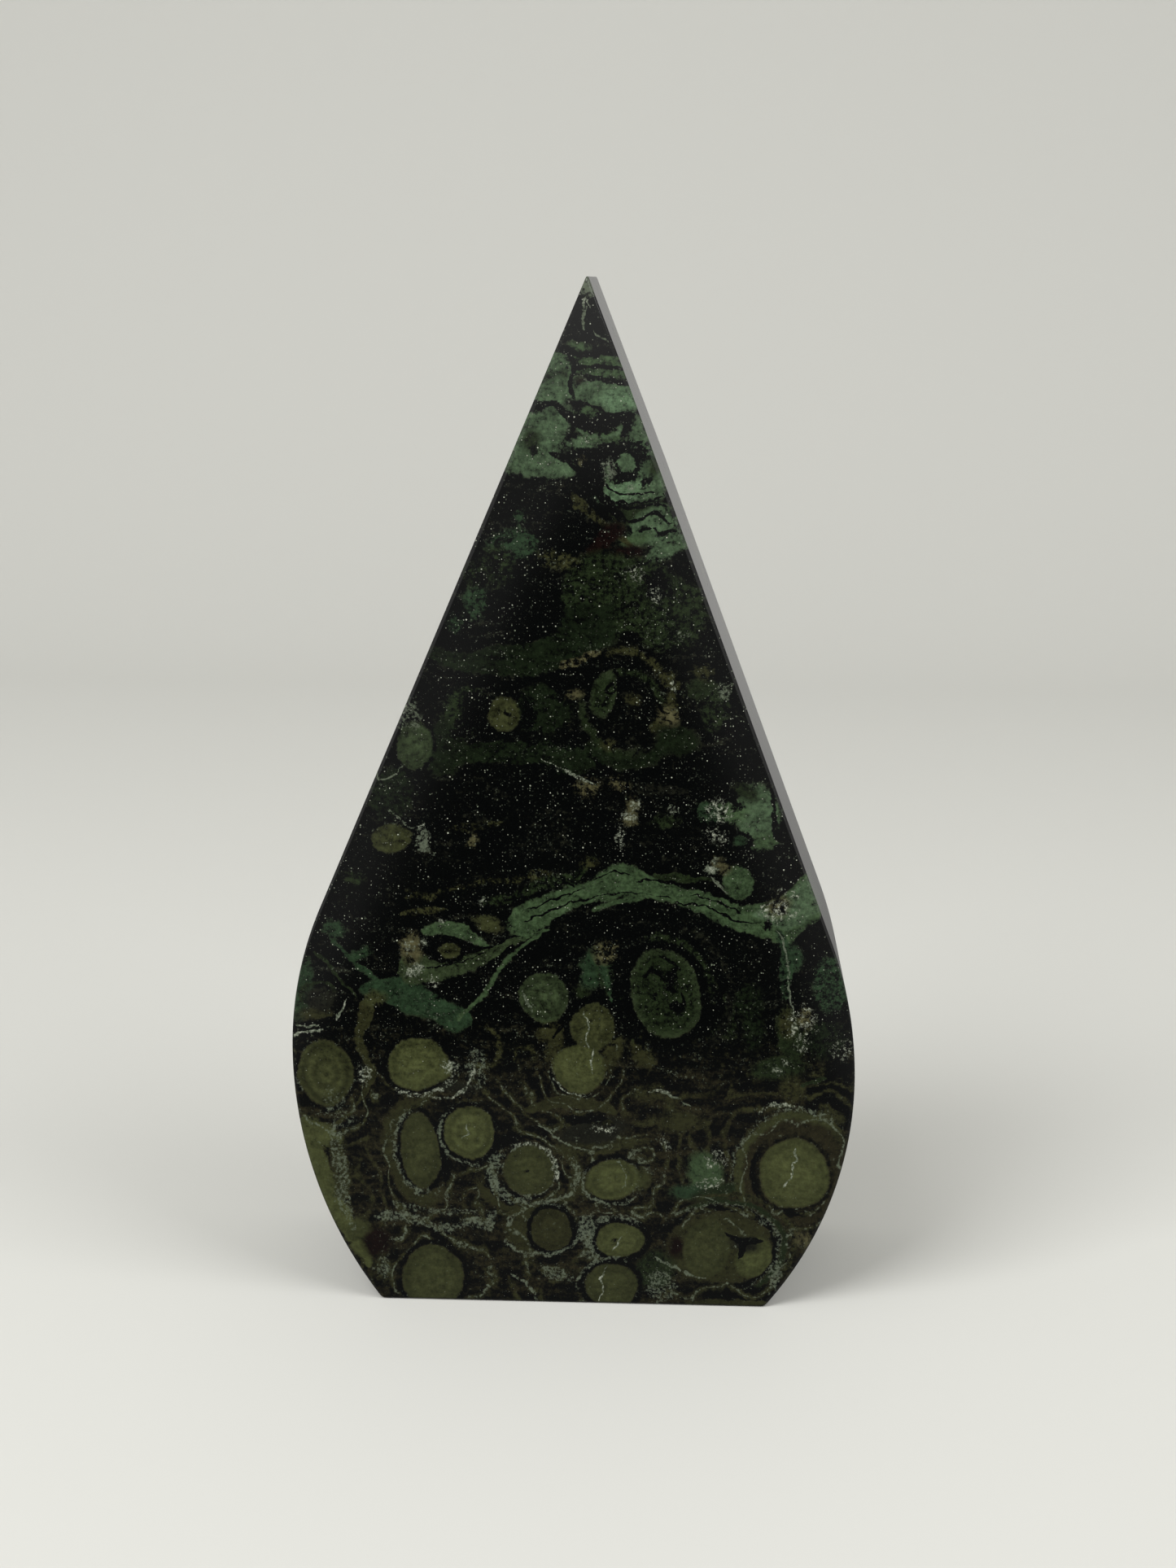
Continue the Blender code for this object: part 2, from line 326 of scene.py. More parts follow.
        Patch(25.6, 27.4, 1.6, 1.6, 0, BARK, 0.62),
        Band(NIGHT, 0.0, ((25.4, 41.0, 0.2), (25.2, 38.5, 0.2), (25.6, 36.6, 0.2))),
        Patch(18.2, 36.8, 0.7, 3.6, -4, MOSS, 0.5),
        Patch(16.6, 34.2, 1.6, 1.0, 20, MOSS, 0.55),
        Patch(20.4, 38.0, 1.6, 2.2, 0, DEEP, 0.6),
        Patch(20.8, 34.6, 1.4, 3.0, 0, DEEP, 0.5),
        Patch(29.8, 40.0, 2.2, 3.6, 0, BOTTLE, 0.55),
        Patch(29.4, 33.4, 2.6, 2.6, 0, DEEP, 0.5),
        Patch(30.4, 26.2, 2.9, 4.0, 5, NIGHT, 0.0),
        Band(MOSS, 0.8, ((27.0, 27.8, 0.3), (28.4, 28.3, 0.3), (29.6, 28.8, 0.2))),
    ),
    # Fan between the twin orbs and the big eye
    "fan": (
        Patch(2.6, 41.6, 1.9, 2.6, 25, BOTTLE, 0.85),
        Patch(4.4, 39.6, 1.0, 2.4, -30, MOSS, 0.8),
        Patch(3.9, 43.6, 1.3, 1.6, 35, TAN, 0.45),
        Patch(0.9, 38.6, 0.8, 0.7, 0, MOSS, 0.85),
        Band(BOTTLE, 0.95, ((3.6, 41.4, 0.5), (4.4, 38.6, 0.45), (5.4, 36.0, 0.35), (6.6, 34.4, 0.4),
                            (7.6, 32.8, 0.6))),
        Patch(8.2, 31.6, 1.4, 2.2, -25, BARK, 0.8),
    ),
    # The big eye: black ground, speckled arcs
    "big_eye": (
        Patch(10.8, 38.6, 6.5, 7.2, -14, NIGHT, 0.08),
        Ring(10.8, 38.8, 7.4, 8.2, -14, 0.5, 10, 0.35, SOOT, 0.42),
        Ring(10.6, 38.6, 5.6, 7.0, -14, 0.45, 55, 0.55, MOSS, 0.55),
    ),
    # Edge greens on the lower left
    "left_edge": (
        Patch(-31.4, 38.6, 1.2, 3.6, 12, BOTTLE, 0.9),
        Patch(-30.2, 35.6, 1.9, 0.7, 0, BARK, 0.85),
        Patch(-29.4, 37.4, 2.0, 1.5, 25, SOOT, 0.7),
        Ring(-29.4, 37.4, 2.3, 2.0, 25, 0.25, 120, 0.1, MOSS, 0.8),
        Band(MOSS, 0.9, ((-29.6, 42.6, 0.35), (-28.0, 41.0, 0.3), (-26.2, 39.0, 0.25), (-25.2, 38.0, 0.2))),
        Band(BOTTLE, 0.95, ((-28.0, 44.2, 0.3), (-26.2, 42.6, 0.35), (-24.4, 41.0, 0.4),
                            (-22.8, 39.6, 0.4))),
        Patch(-24.7, 42.8, 1.6, 0.7, -28, BOTTLE, 0.85),
        Patch(-27.6, 45.8, 1.3, 1.2, 0, BOTTLE, 0.75),
        Patch(-25.2, 51.9, 1.2, 1.0, 0, MOSS, 0.5),
        Band(BARK, 0.85, ((-23.8, 36.8, 0.9), (-24.4, 34.6, 0.8), (-25.0, 32.8, 0.6), (-24.4, 30.6, 0.5),
                          (-23.6, 28.6, 0.6), (-24.2, 26.2, 0.3), (-25.6, 24.0, 0.25), (-27.6, 22.2, 0.4))),
        Patch(-22.9, 37.4, 1.3, 0.8, -10, OLIVE, 0.8),
        Patch(-29.4, 20.8, 2.9, 1.3, 30, KHAKI, 0.75),
        Band(KHAKI, 0.8, ((-31.4, 22.0, 1.0), (-30.2, 18.0, 1.2), (-28.9, 14.0, 1.4), (-27.4, 10.5, 1.3),
                         (-25.8, 7.6, 1.0), (-24.4, 4.6, 0.6))),
        Band(BARK, 0.8, ((-28.0, 20.0, 0.7), (-27.2, 16.0, 0.9), (-27.0, 13.0, 0.7))),
        Patch(-25.2, 8.9, 1.1, 1.3, 0, OLIVE, 0.9),
        Patch(-23.2, 7.2, 1.7, 2.0, 15, OXBLOOD, 0.75),
        Patch(-22.4, 4.0, 1.1, 1.8, 0, BARK, 0.5),
    ),
    # Jackets and lenses round the lower orbs
    "jackets": (
        Ring(-17.6, 19.0, 4.0, 6.0, -8, 0.7, -155, -0.1, BARK, 0.95),
        Patch(-15.0, 18.0, 0.5, 4.2, -6, NIGHT, 0.05),
        Ring(-5.2, 16.6, 4.6, 4.5, 0, 0.45, 160, -0.3, NIGHT, 0.05),
        Ring(-5.2, 16.4, 5.8, 5.0, 0, 0.6, -60, -0.3, BARK, 0.8),
        Patch(1.4, 15.2, 0.9, 1.6, -20, BARK, 0.85),
        Patch(7.8, 15.7, 1.2, 1.2, 0, OLIVE, 0.95),
        Patch(3.0, 20.0, 5.6, 1.1, -8, BARK, 0.7),
        Patch(2.6, 21.8, 4.4, 1.5, -12, SOOT, 0.8),
        Band(NIGHT, 0.0, ((-3.4, 22.3, 0.3), (-0.4, 22.9, 0.6), (2.4, 23.1, 0.5), (4.6, 22.6, 0.3))),
        Band(BARK, 0.9, ((-5.2, 24.6, 0.3), (-2.6, 25.0, 0.7), (0.2, 25.3, 0.8), (2.8, 24.8, 0.7),
                         (4.8, 24.2, 0.4))),
        Patch(4.6, 31.2, 1.1, 2.6, 18, BARK, 0.85),
        Patch(-2.9, 34.2, 1.6, 1.3, -30, BARK, 0.8),
        Patch(-2.0, 32.4, 0.9, 2.4, 12, BARK, 0.75),
        Ring(-10.6, 31.8, 2.3, 2.5, 0, 0.35, -20, -0.2, BARK, 0.6),
        Ring(-5.6, 30.6, 1.2, 1.3, 0, 0.35, 90, -0.3, BARK, 0.5),
        Patch(-17.8, 24.8, 1.8, 0.6, -30, BARK, 0.8),
        Patch(-13.6, 27.0, 2.6, 0.9, 8, SOOT, 0.7),
        Patch(12.4, 23.2, 2.6, 1.2, -4, BARK, 0.75),
        Patch(11.4, 24.6, 0.6, 1.4, 0, BARK, 0.6),
        Patch(15.6, 17.0, 1.9, 2.4, -30, LEAF, 0.72),
        Patch(13.8, 14.6, 2.2, 0.9, -10, BOTTLE, 0.75),
        Patch(17.6, 14.6, 3.6, 0.9, -14, MOSS, 0.85),
        # Brown round the big orb low on the right: partly mud, partly a painted warm reflection
        Patch(26.2, 17.4, 6.6, 7.2, 0, MUD_AND_WARM_REFLECTION, 0.72),
        Ring(26.2, 17.0, 6.6, 7.2, 0, 0.5, 125, 0.1, OLIVE, 0.8),
        Ring(26.2, 17.0, 5.0, 5.3, 0, 0.3, -140, 0.2, NIGHT, 0.1),
        Patch(17.4, 7.4, 6.3, 4.5, -6, BARK, 0.85),
        Ring(17.4, 7.4, 6.9, 5.0, -6, 0.3, 40, -0.2, NIGHT, 0.05),
        Ring(17.4, 7.4, 7.8, 5.9, -8, 0.35, 30, -0.1, MOSS, 0.9),
        Ring(17.4, 7.4, 8.9, 6.8, -10, 0.25, 30, 0.2, BARK, 0.6),
        Patch(12.2, 7.4, 0.9, 1.4, 0, OXBLOOD, 0.8),
        Patch(27.2, 8.6, 1.1, 0.9, 20, TAN, 0.6),
        Patch(-3.6, 9.2, 4.2, 3.0, -4, BARK, 0.8),
        Patch(1.9, 9.2, 1.2, 2.3, 0, ASH, 0.62),
        Patch(-1.8, 3.6, 2.3, 0.8, 18, ASH, 0.5),
        Patch(9.8, 4.4, 2.4, 2.4, -30, MOSS, 0.6),
        Patch(20.0, 1.8, 4.6, 1.1, 0, NIGHT, 0.1),
        Band(BARK, 0.8, ((14.0, 0.3, 0.35), (19.0, 0.5, 0.4), (23.0, 0.6, 0.3))),
    ),
}

ORBS = (
    # Lower field, from the left edge to the right; their olive and khaki tones are partly a painted warm
    # reflection
    Orb(-28.9, 28.3, 3.2, 4.0, 0, OLIVE, 1.0, 0.5, 0.3),
    Orb(-18.1, 29.5, 3.5, 3.2, -10, KHAKI, 0.25, 0.4, 0.3),
    Orb(-15.8, 28.9, 1.6, 1.4, -20, KHAKI, 0.0, 0.4, 0.0),
    Orb(-12.1, 21.3, 3.0, 3.35, 0, KHAKI, 0.6, 0.3, 0.4),
    Orb(-17.9, 18.9, 2.3, 4.6, -8, OLIVE, 0.1, 0.3, 0.5),
    Orb(-5.1, 16.6, 3.0, 3.0, 0, OLIVE, 0.1, 1.0, 0.0),
    Orb(4.8, 15.7, 3.0, 2.5, -5, KHAKI, 0.5, 0.5, 0.2),
    Orb(26.1, 16.9, 4.1, 4.35, 0, KHAKI, 0.15, 0.3, 0.4),
    Orb(-2.4, 9.3, 2.3, 2.5, 12, BARK, 0.2, 0.0, 0.9),
    Orb(5.7, 8.2, 2.75, 2.2, 0, KHAKI, 0.1, 0.4, 0.9),
    Orb(4.8, 2.3, 3.2, 2.9, 0, OLIVE, 0.1, 0.4, 0.7),
    Orb(15.9, 7.3, 2.8, 3.7, 10, OLIVE, 0.3, 0.0, 0.2),
    Orb(21.6, 6.3, 2.0, 2.6, 28, KHAKI, 0.2, 0.0, 0.0),
    Orb(-16.4, 2.9, 3.7, 4.0, 8, OLIVE, 0.2, 0.2, 0.4),
    # The cluster of three under the wave
    Orb(-3.3, 38.0, 2.8, 2.95, 0, FERN, 0.9, 0.2, 0.5),
    Orb(2.3, 34.5, 2.6, 2.9, 0, OLIVE, 0.2, 0.2, 0.5),
    Orb(0.8, 29.4, 2.95, 3.05, -12, KHAKI, 0.15, 0.4, 0.2),
    # The big eye
    Orb(10.7, 38.7, 4.1, 5.5, -14, FERN, 0.0, 0.0, 1.0),
    # Upper field
    Orb(-7.9, 71.3, 1.8, 1.95, 0, OLIVE, 0.3, 0.0, 0.2),
    Orb(3.3, 73.7, 1.4, 2.6, 12, FERN, 0.0, 0.0, 0.2),
    Orb(-18.0, 67.6, 2.0, 2.6, 5, FERN, 0.0, 0.3, 0.6),
    Orb(-20.8, 56.8, 2.3, 1.7, -14, OLIVE, 0.1, 0.3, 0.3),
    Orb(5.8, 99.5, 1.0, 1.0, 0, SAGE, 0.3, 0.0, 0.6),
    Orb(-2.8, 104.8, 0.9, 0.75, 0, SAGE, 0.2, 0.0, 0.2),
    Orb(-14.1, 43.5, 1.25, 1.0, 0, OLIVE, 0.3, 0.0, 1.0),
    Orb(18.8, 52.1, 1.9, 2.0, 10, LEAF, 0.0, 0.0, 0.9),
    Orb(18.9, 57.0, 0.9, 0.65, 0, BOTTLE, 0.0, 0.0, 1.0),
)

MARKS = {
    # Black marks inside the big eye, and the dark dots of the small orbs
    "black_marks": (
        Patch(10.7, 38.7, 3.6, 5.0, -14, MOSS, 0.66),
        Patch(3.2, 73.6, 1.2, 2.3, 12, MOSS, 0.7),
        Band(NIGHT, 0.0, ((8.4, 40.8, 0.2), (9.4, 41.3, 0.35), (10.4, 40.5, 0.4), (11.6, 39.4, 0.3))),
        Patch(9.2, 38.2, 0.4, 0.35, 0, NIGHT, 0.1),
        Patch(11.2, 40.6, 0.5, 1.0, 20, NIGHT, 0.1),
        Patch(12.2, 37.0, 0.8, 0.7, 30, NIGHT, 0.0),
        Band(NIGHT, 0.0, ((12.6, 38.8, 0.14), (13.0, 37.8, 0.2), (12.8, 36.9, 0.2))),
        Band(NIGHT, 0.05, ((10.2, 43.2, 0.1), (11.2, 42.6, 0.25), (12.2, 41.6, 0.1))),
        Patch(-7.6, 71.6, 0.4, 0.28, 25, NIGHT, 0.0),
        Ring(4.1, 74.4, 0.5, 0.5, 0, 0.14, 90, -1.2, NIGHT, 0.0),
        Patch(3.4, 72.7, 0.45, 0.16, -20, NIGHT, 0.0),
        Patch(-5.3, 16.7, 0.22, 0.22, 0, NIGHT, 0.1),
        Patch(5.0, 8.1, 0.35, 0.3, 0, NIGHT, 0.1),
        Band(NIGHT, 0.05, ((-6.2, 39.6, 0.1), (-5.6, 40.3, 0.3), (-4.8, 40.8, 0.15))),
        Band(NIGHT, 0.0, ((-2.2, 33.4, 0.1), (-1.2, 35.0, 0.25), (0.0, 36.6, 0.2), (1.2, 37.6, 0.2))),
        Patch(20.5, 8.1, 1.7, 0.9, 10, SOOT, 0.6),
        Band(NIGHT, 0.05, ((18.4, 9.3, 0.14), (19.6, 8.6, 0.4), (20.8, 8.5, 0.5), (22.4, 8.6, 0.1))),
        Band(NIGHT, 0.05, ((19.9, 6.4, 0.1), (20.2, 7.4, 0.4), (20.4, 8.4, 0.4))),
    ),
    # White cracks and strokes, and a painted highlight near the point
    "white_cracks_and_point_highlight": (
        Band(CHALK, 0.75, ((26.2, 20.0, 0.1), (26.35, 19.0, 0.16), (25.8, 17.9, 0.13), (25.7, 16.5, 0.13),
                           (25.1, 15.4, 0.12))),
        Band(CHALK, 0.72, ((1.2, 36.4, 0.1), (1.5, 34.9, 0.13), (1.4, 33.2, 0.1), (1.6, 32.1, 0.12))),
        Band(CHALK, 0.7, ((2.3, 31.6, 0.12), (2.1, 30.4, 0.12), (2.4, 28.9, 0.1))),
        Band(CHALK, 0.72, ((5.75, 8.7, 0.08), (5.4, 7.9, 0.14), (5.0, 6.9, 0.08))),
        Band(CHALK, 0.68, ((4.0, 4.6, 0.08), (3.5, 3.1, 0.12), (3.7, 1.9, 0.12), (3.2, 0.3, 0.09))),
        Band(CHALK, 0.7, ((-12.6, 22.4, 0.1), (-12.2, 21.3, 0.16), (-12.8, 20.7, 0.1))),
        Band(ASH, 0.7, ((-5.5, 38.6, 0.1), (-5.2, 37.4, 0.18), (-4.7, 36.3, 0.14))),
        Band(CHALK, 0.8, ((-27.6, 34.9, 0.14), (-27.0, 36.0, 0.16), (-26.3, 37.2, 0.1))),
        Band(CHALK, 0.78, ((-32.4, 34.3, 0.1), (-31.0, 34.1, 0.16), (-29.7, 34.2, 0.12))),
        Band(CHALK, 0.72, ((-32.6, 32.8, 0.2), (-31.0, 33.4, 0.2), (-29.5, 33.4, 0.2))),
        Band(CHALK, 0.62, ((-3.6, 66.4, 0.06), (-1.6, 65.3, 0.1), (-0.2, 64.6, 0.2), (1.9, 63.6, 0.25))),
        # Painted highlight near the point: a Λ of thin white strokes and the ash stroke under it, a lamp's
        # mirror image in the rounded point
        Band(CHALK, 0.8, ((0.75, 115.9, 0.08), (0.95, 116.8, 0.12), (1.2, 117.4, 0.1))),
        Band(CHALK, 0.7, ((1.4, 116.0, 0.06), (1.25, 117.0, 0.09))),
        Band(ASH, 0.72, ((0.85, 113.9, 0.14), (0.8, 115.2, 0.2), (1.0, 116.0, 0.14))),
        Band(ASH, 0.6, ((1.9, 114.0, 0.08), (2.8, 113.3, 0.12), (3.8, 112.9, 0.1))),
    ),
    # Pale outlines and granular patches
    "pale_outlines": (
        Ring(-17.9, 18.9, 3.0, 5.1, -8, 0.36, -160, 0.0, ASH, 0.52),
        Ring(-12.1, 21.3, 3.5, 4.0, 0, 0.26, -150, 0.1, ASH, 0.54),
        Ring(-5.2, 16.6, 3.35, 3.3, 0, 0.4, 45, 0.35, CHALK, 0.56),
        Ring(-5.4, 16.4, 4.0, 3.6, 0, 0.7, -155, 0.25, ASH, 0.54),
        Ring(-4.8, 16.4, 5.4, 4.2, 0, 0.36, -30, 0.5, ASH, 0.56),
        Ring(4.9, 15.7, 3.6, 3.0, -5, 0.24, -120, 0.0, ASH, 0.58),
        Ring(4.7, 15.9, 1.6, 2.2, -5, 0.1, 20, 0.5, ASH, 0.6),
        Ring(-3.6, 9.2, 4.4, 3.0, -4, 0.3, -80, 0.1, ASH, 0.56),
        Ring(-3.4, 9.4, 4.2, 2.9, -4, 0.2, 120, 0.4, ASH, 0.54),
        Ring(5.7, 8.2, 3.6, 2.9, 0, 0.4, 150, -0.1, ASH, 0.52),
        Ring(5.2, 2.0, 4.6, 3.9, 0, 0.26, 130, 0.6, ASH, 0.56),
        Ring(17.0, 7.4, 7.6, 5.6, -6, 0.3, 40, -0.2, ASH, 0.42),
        Ring(26.2, 17.0, 7.3, 7.9, 0, 0.3, 125, 0.3, ASH, 0.42),
        Ring(-18.0, 29.4, 4.1, 3.7, -8, 0.3, -70, 0.3, CHALK, 0.5),
        Band(ASH, 0.44, ((-28.0, 22.0, 0.6), (-27.4, 17.0, 0.9), (-26.9, 12.0, 0.8), (-26.0, 9.0, 0.4))),
        Ring(-16.0, 30.0, 4.6, 4.6, -8, 0.2, -50, 0.6, CHALK, 0.6),
        Patch(-14.4, 29.3, 0.9, 0.8, 0, CHALK, 0.6),
        Ring(-20.2, 67.4, 1.9, 4.2, 28, 0.12, -110, 0.3, ASH, 0.72),
        Band(ASH, 0.6, ((-21.0, 59.9, 0.12), (-19.6, 58.9, 0.12), (-18.2, 58.2, 0.12))),
        Ring(0.8, 29.4, 3.2, 3.3, -12, 0.13, -115, 0.7, CHALK, 0.66),
        Band(ASH, 0.62, ((10.0, 5.8, 0.1), (12.0, 5.0, 0.16), (14.2, 3.9, 0.16), (16.0, 3.4, 0.1))),
        Band(ASH, 0.58, ((-7.2, 3.4, 0.12), (-6.0, 2.6, 0.25), (-5.0, 1.6, 0.3), (-4.2, 0.4, 0.2))),
        Band(ASH, 0.7, ((-4.0, 22.4, 0.14), (-2.2, 21.2, 0.16), (0.0, 19.8, 0.14), (2.2, 19.1, 0.2))),
        Band(ASH, 0.6, ((10.4, 26.4, 0.12), (12.0, 26.1, 0.16), (13.6, 25.2, 0.12))),
        Band(CHALK, 0.55, ((9.0, 26.6, 0.2), (10.6, 26.7, 0.25), (11.6, 26.4, 0.15))),
        Patch(10.8, 20.6, 0.5, 1.2, -20, CHALK, 0.5),
        Band(ASH, 0.52, ((-23.0, 10.4, 0.5), (-21.0, 10.5, 0.8), (-18.0, 10.2, 0.7), (-15.0, 9.3, 0.6),
                         (-12.0, 9.8, 0.8), (-9.6, 10.0, 1.0))),
        Band(ASH, 0.4, ((-20.8, 12.2, 0.6), (-17.0, 11.6, 0.5), (-13.0, 11.2, 0.5), (-9.4, 11.0, 0.6))),
        Patch(-24.4, 28.4, 0.8, 1.4, 0, CHALK, 0.5),
        Patch(-27.4, 24.0, 1.6, 3.0, -30, ASH, 0.36),
        Patch(-22.4, 4.2, 0.9, 1.6, 10, ASH, 0.48),
        Patch(10.8, 2.6, 1.8, 2.2, -20, ASH, 0.44),
        Patch(24.2, 4.2, 0.7, 2.4, 18, ASH, 0.5),
        Patch(22.8, 10.9, 1.2, 0.5, -25, ASH, 0.5),
        Patch(-11.4, 29.0, 1.6, 2.6, 0, ASH, 0.36),
        Patch(3.8, 21.9, 1.8, 0.6, -6, CHALK, 0.42),
    ),
    # Clusters of white and tan grains
    "grain_clusters": (
        Patch(6.4, 59.2, 0.9, 0.8, 0, TAN, 0.9),
        Patch(6.9, 61.0, 0.8, 0.8, 0, TAN, 0.8),
        Patch(6.2, 59.6, 1.1, 0.7, 0, CHALK, 0.55),
        Patch(7.1, 61.1, 0.7, 0.7, 0, CHALK, 0.55),
        Patch(5.4, 57.4, 0.7, 1.6, 0, CHALK, 0.42),
        Patch(16.8, 54.0, 1.0, 0.8, 30, TAN, 0.8),
        Patch(15.9, 53.5, 0.6, 0.6, 0, CHALK, 1.0),
        Patch(16.3, 54.5, 0.35, 0.3, 0, CHALK, 0.9),
        Band(ASH, 0.7, ((15.8, 52.6, 0.12), (16.6, 51.6, 0.16), (17.6, 50.8, 0.1))),
        Patch(16.6, 60.6, 1.6, 1.6, 0, CHALK, 0.4),
        Patch(16.2, 57.4, 1.4, 1.0, 0, CHALK, 0.4),
        Patch(11.3, 60.4, 0.6, 0.4, 0, CHALK, 0.66),
        Patch(-18.6, 43.6, 1.2, 1.9, 0, TAN, 0.7),
        Patch(-18.3, 41.2, 1.2, 0.7, -30, CHALK, 0.62),
        Patch(-18.8, 43.9, 0.5, 0.7, 0, CHALK, 0.6),
        Patch(-17.2, 44.4, 0.4, 0.7, 0, CHALK, 0.6),
        Patch(-16.2, 39.7, 0.7, 0.8, 0, CHALK, 0.5),
        Patch(-19.1, 72.4, 0.5, 1.5, -8, CHALK, 0.66),
        Patch(-18.4, 75.9, 0.5, 0.5, 0, CHALK, 0.58),
        Patch(-18.6, 71.0, 1.6, 2.2, -10, ASH, 0.42),
        Patch(-17.2, 56.4, 0.9, 1.3, 0, ASH, 0.66),
        Patch(-17.4, 58.0, 0.6, 0.5, 0, CHALK, 0.5),
        Patch(-11.4, 56.4, 0.6, 0.9, 0, TAN, 0.62),
        Patch(-10.4, 49.3, 0.4, 0.4, 0, CHALK, 0.7),
        Patch(-15.1, 47.0, 0.5, 0.5, 40, CHALK, 0.62),
        Patch(1.6, 63.0, 1.4, 1.0, 0, TAN, 0.55),
        Patch(5.2, 63.4, 1.2, 0.8, 10, TAN, 0.5),
        Patch(10.4, 71.4, 1.0, 1.2, -30, TAN, 0.5),
        Patch(11.1, 74.8, 0.4, 1.0, 10, CHALK, 0.5),
        Patch(17.0, 74.4, 0.8, 1.8, 20, ASH, 0.42),
        Patch(12.2, 80.5, 0.7, 0.3, 0, CHALK, 0.6),
        Patch(9.2, 84.8, 0.9, 0.9, 0, CHALK, 0.46),
        Patch(6.9, 87.2, 1.2, 1.2, 0, CHALK, 0.38),
        Patch(3.3, 99.1, 0.35, 0.4, 0, CHALK, 0.9),
        Patch(6.1, 96.7, 0.35, 0.35, 0, CHALK, 0.95),
        Patch(0.8, 99.6, 0.5, 0.4, 0, TAN, 0.9),
        Patch(1.3, 102.0, 1.1, 0.5, 0, CHALK, 0.32),
        Patch(23.4, 49.4, 1.1, 1.2, 0, TAN, 0.32),
        Patch(23.4, 48.8, 2.4, 1.4, 0, CHALK, 0.42),
        Patch(24.6, 50.8, 1.6, 0.6, 20, CHALK, 0.4),
        Band(ASH, 0.7, ((23.4, 46.6, 0.1), (24.2, 45.2, 0.14), (24.5, 43.0, 0.14), (24.8, 40.4, 0.14),
                        (25.2, 38.0, 0.14), (25.6, 36.2, 0.12))),
        Patch(25.8, 34.8, 0.7, 0.5, 0, CHALK, 0.7),
        Patch(25.2, 35.8, 0.4, 0.6, 0, CHALK, 0.66),
        Patch(26.6, 34.8, 1.6, 3.0, 0, CHALK, 0.36),
        Patch(26.7, 32.3, 0.5, 0.4, 0, CHALK, 0.66),
        Patch(23.9, 29.4, 0.5, 0.5, 0, CHALK, 0.7),
        Patch(24.7, 30.5, 0.35, 0.35, 0, CHALK, 0.7),
        Patch(31.2, 32.2, 1.4, 1.4, 0, CHALK, 0.36),
        Band(CHALK, 0.58, ((22.0, 24.6, 0.3), (24.0, 25.4, 0.25), (26.0, 25.2, 0.2))),
        Patch(17.0, 18.6, 1.6, 1.4, 0, CHALK, 0.4),
        Patch(16.4, 15.8, 1.6, 1.0, -20, CHALK, 0.36),
    ),
}

PALE = (ASH, CHALK)


class Value:
    """A number that a socket carries. Python's operators on it add Math nodes."""

    def __init__(self, paint, socket):
        self.paint = paint
        self.socket = socket

    def math(self, operation, *others, clamp=False):
        return self.paint.math(operation, self, *others, clamp=clamp)

    def __add__(self, other):
        return self.math("ADD", other)

    def __sub__(self, other):
        return self.math("SUBTRACT", other)

    def __rsub__(self, other):
        return self.paint.math("SUBTRACT", other, self)

    def __mul__(self, other):
        return self.math("MULTIPLY", other)

    def __lt__(self, other):
        return self.math("LESS_THAN", other)

    def __abs__(self):
        return self.math("ABSOLUTE")

    __radd__ = __add__
    __rmul__ = __mul__

    def line(self, slope, offset, clamp=False):
        """slope times the value plus offset."""
        return self.math("MULTIPLY_ADD", slope, offset, clamp=clamp)

    def least(self, other):
        return self.math("MINIMUM", other)

    def most(self, other):
        return self.math("MAXIMUM", other)

    def ramp(self, low, high):
        """0 at low, 1 at high and a straight line between them. It falls where high is the smaller one."""
        return self.line(1 / (high - low), -low / (high - low), clamp=True)

    def step(self, middle, steepness):
        """From 0 up to 1 at that steepness, and half way there at the middle."""
        return self.line(steepness, 0.5 - middle * steepness, clamp=True)


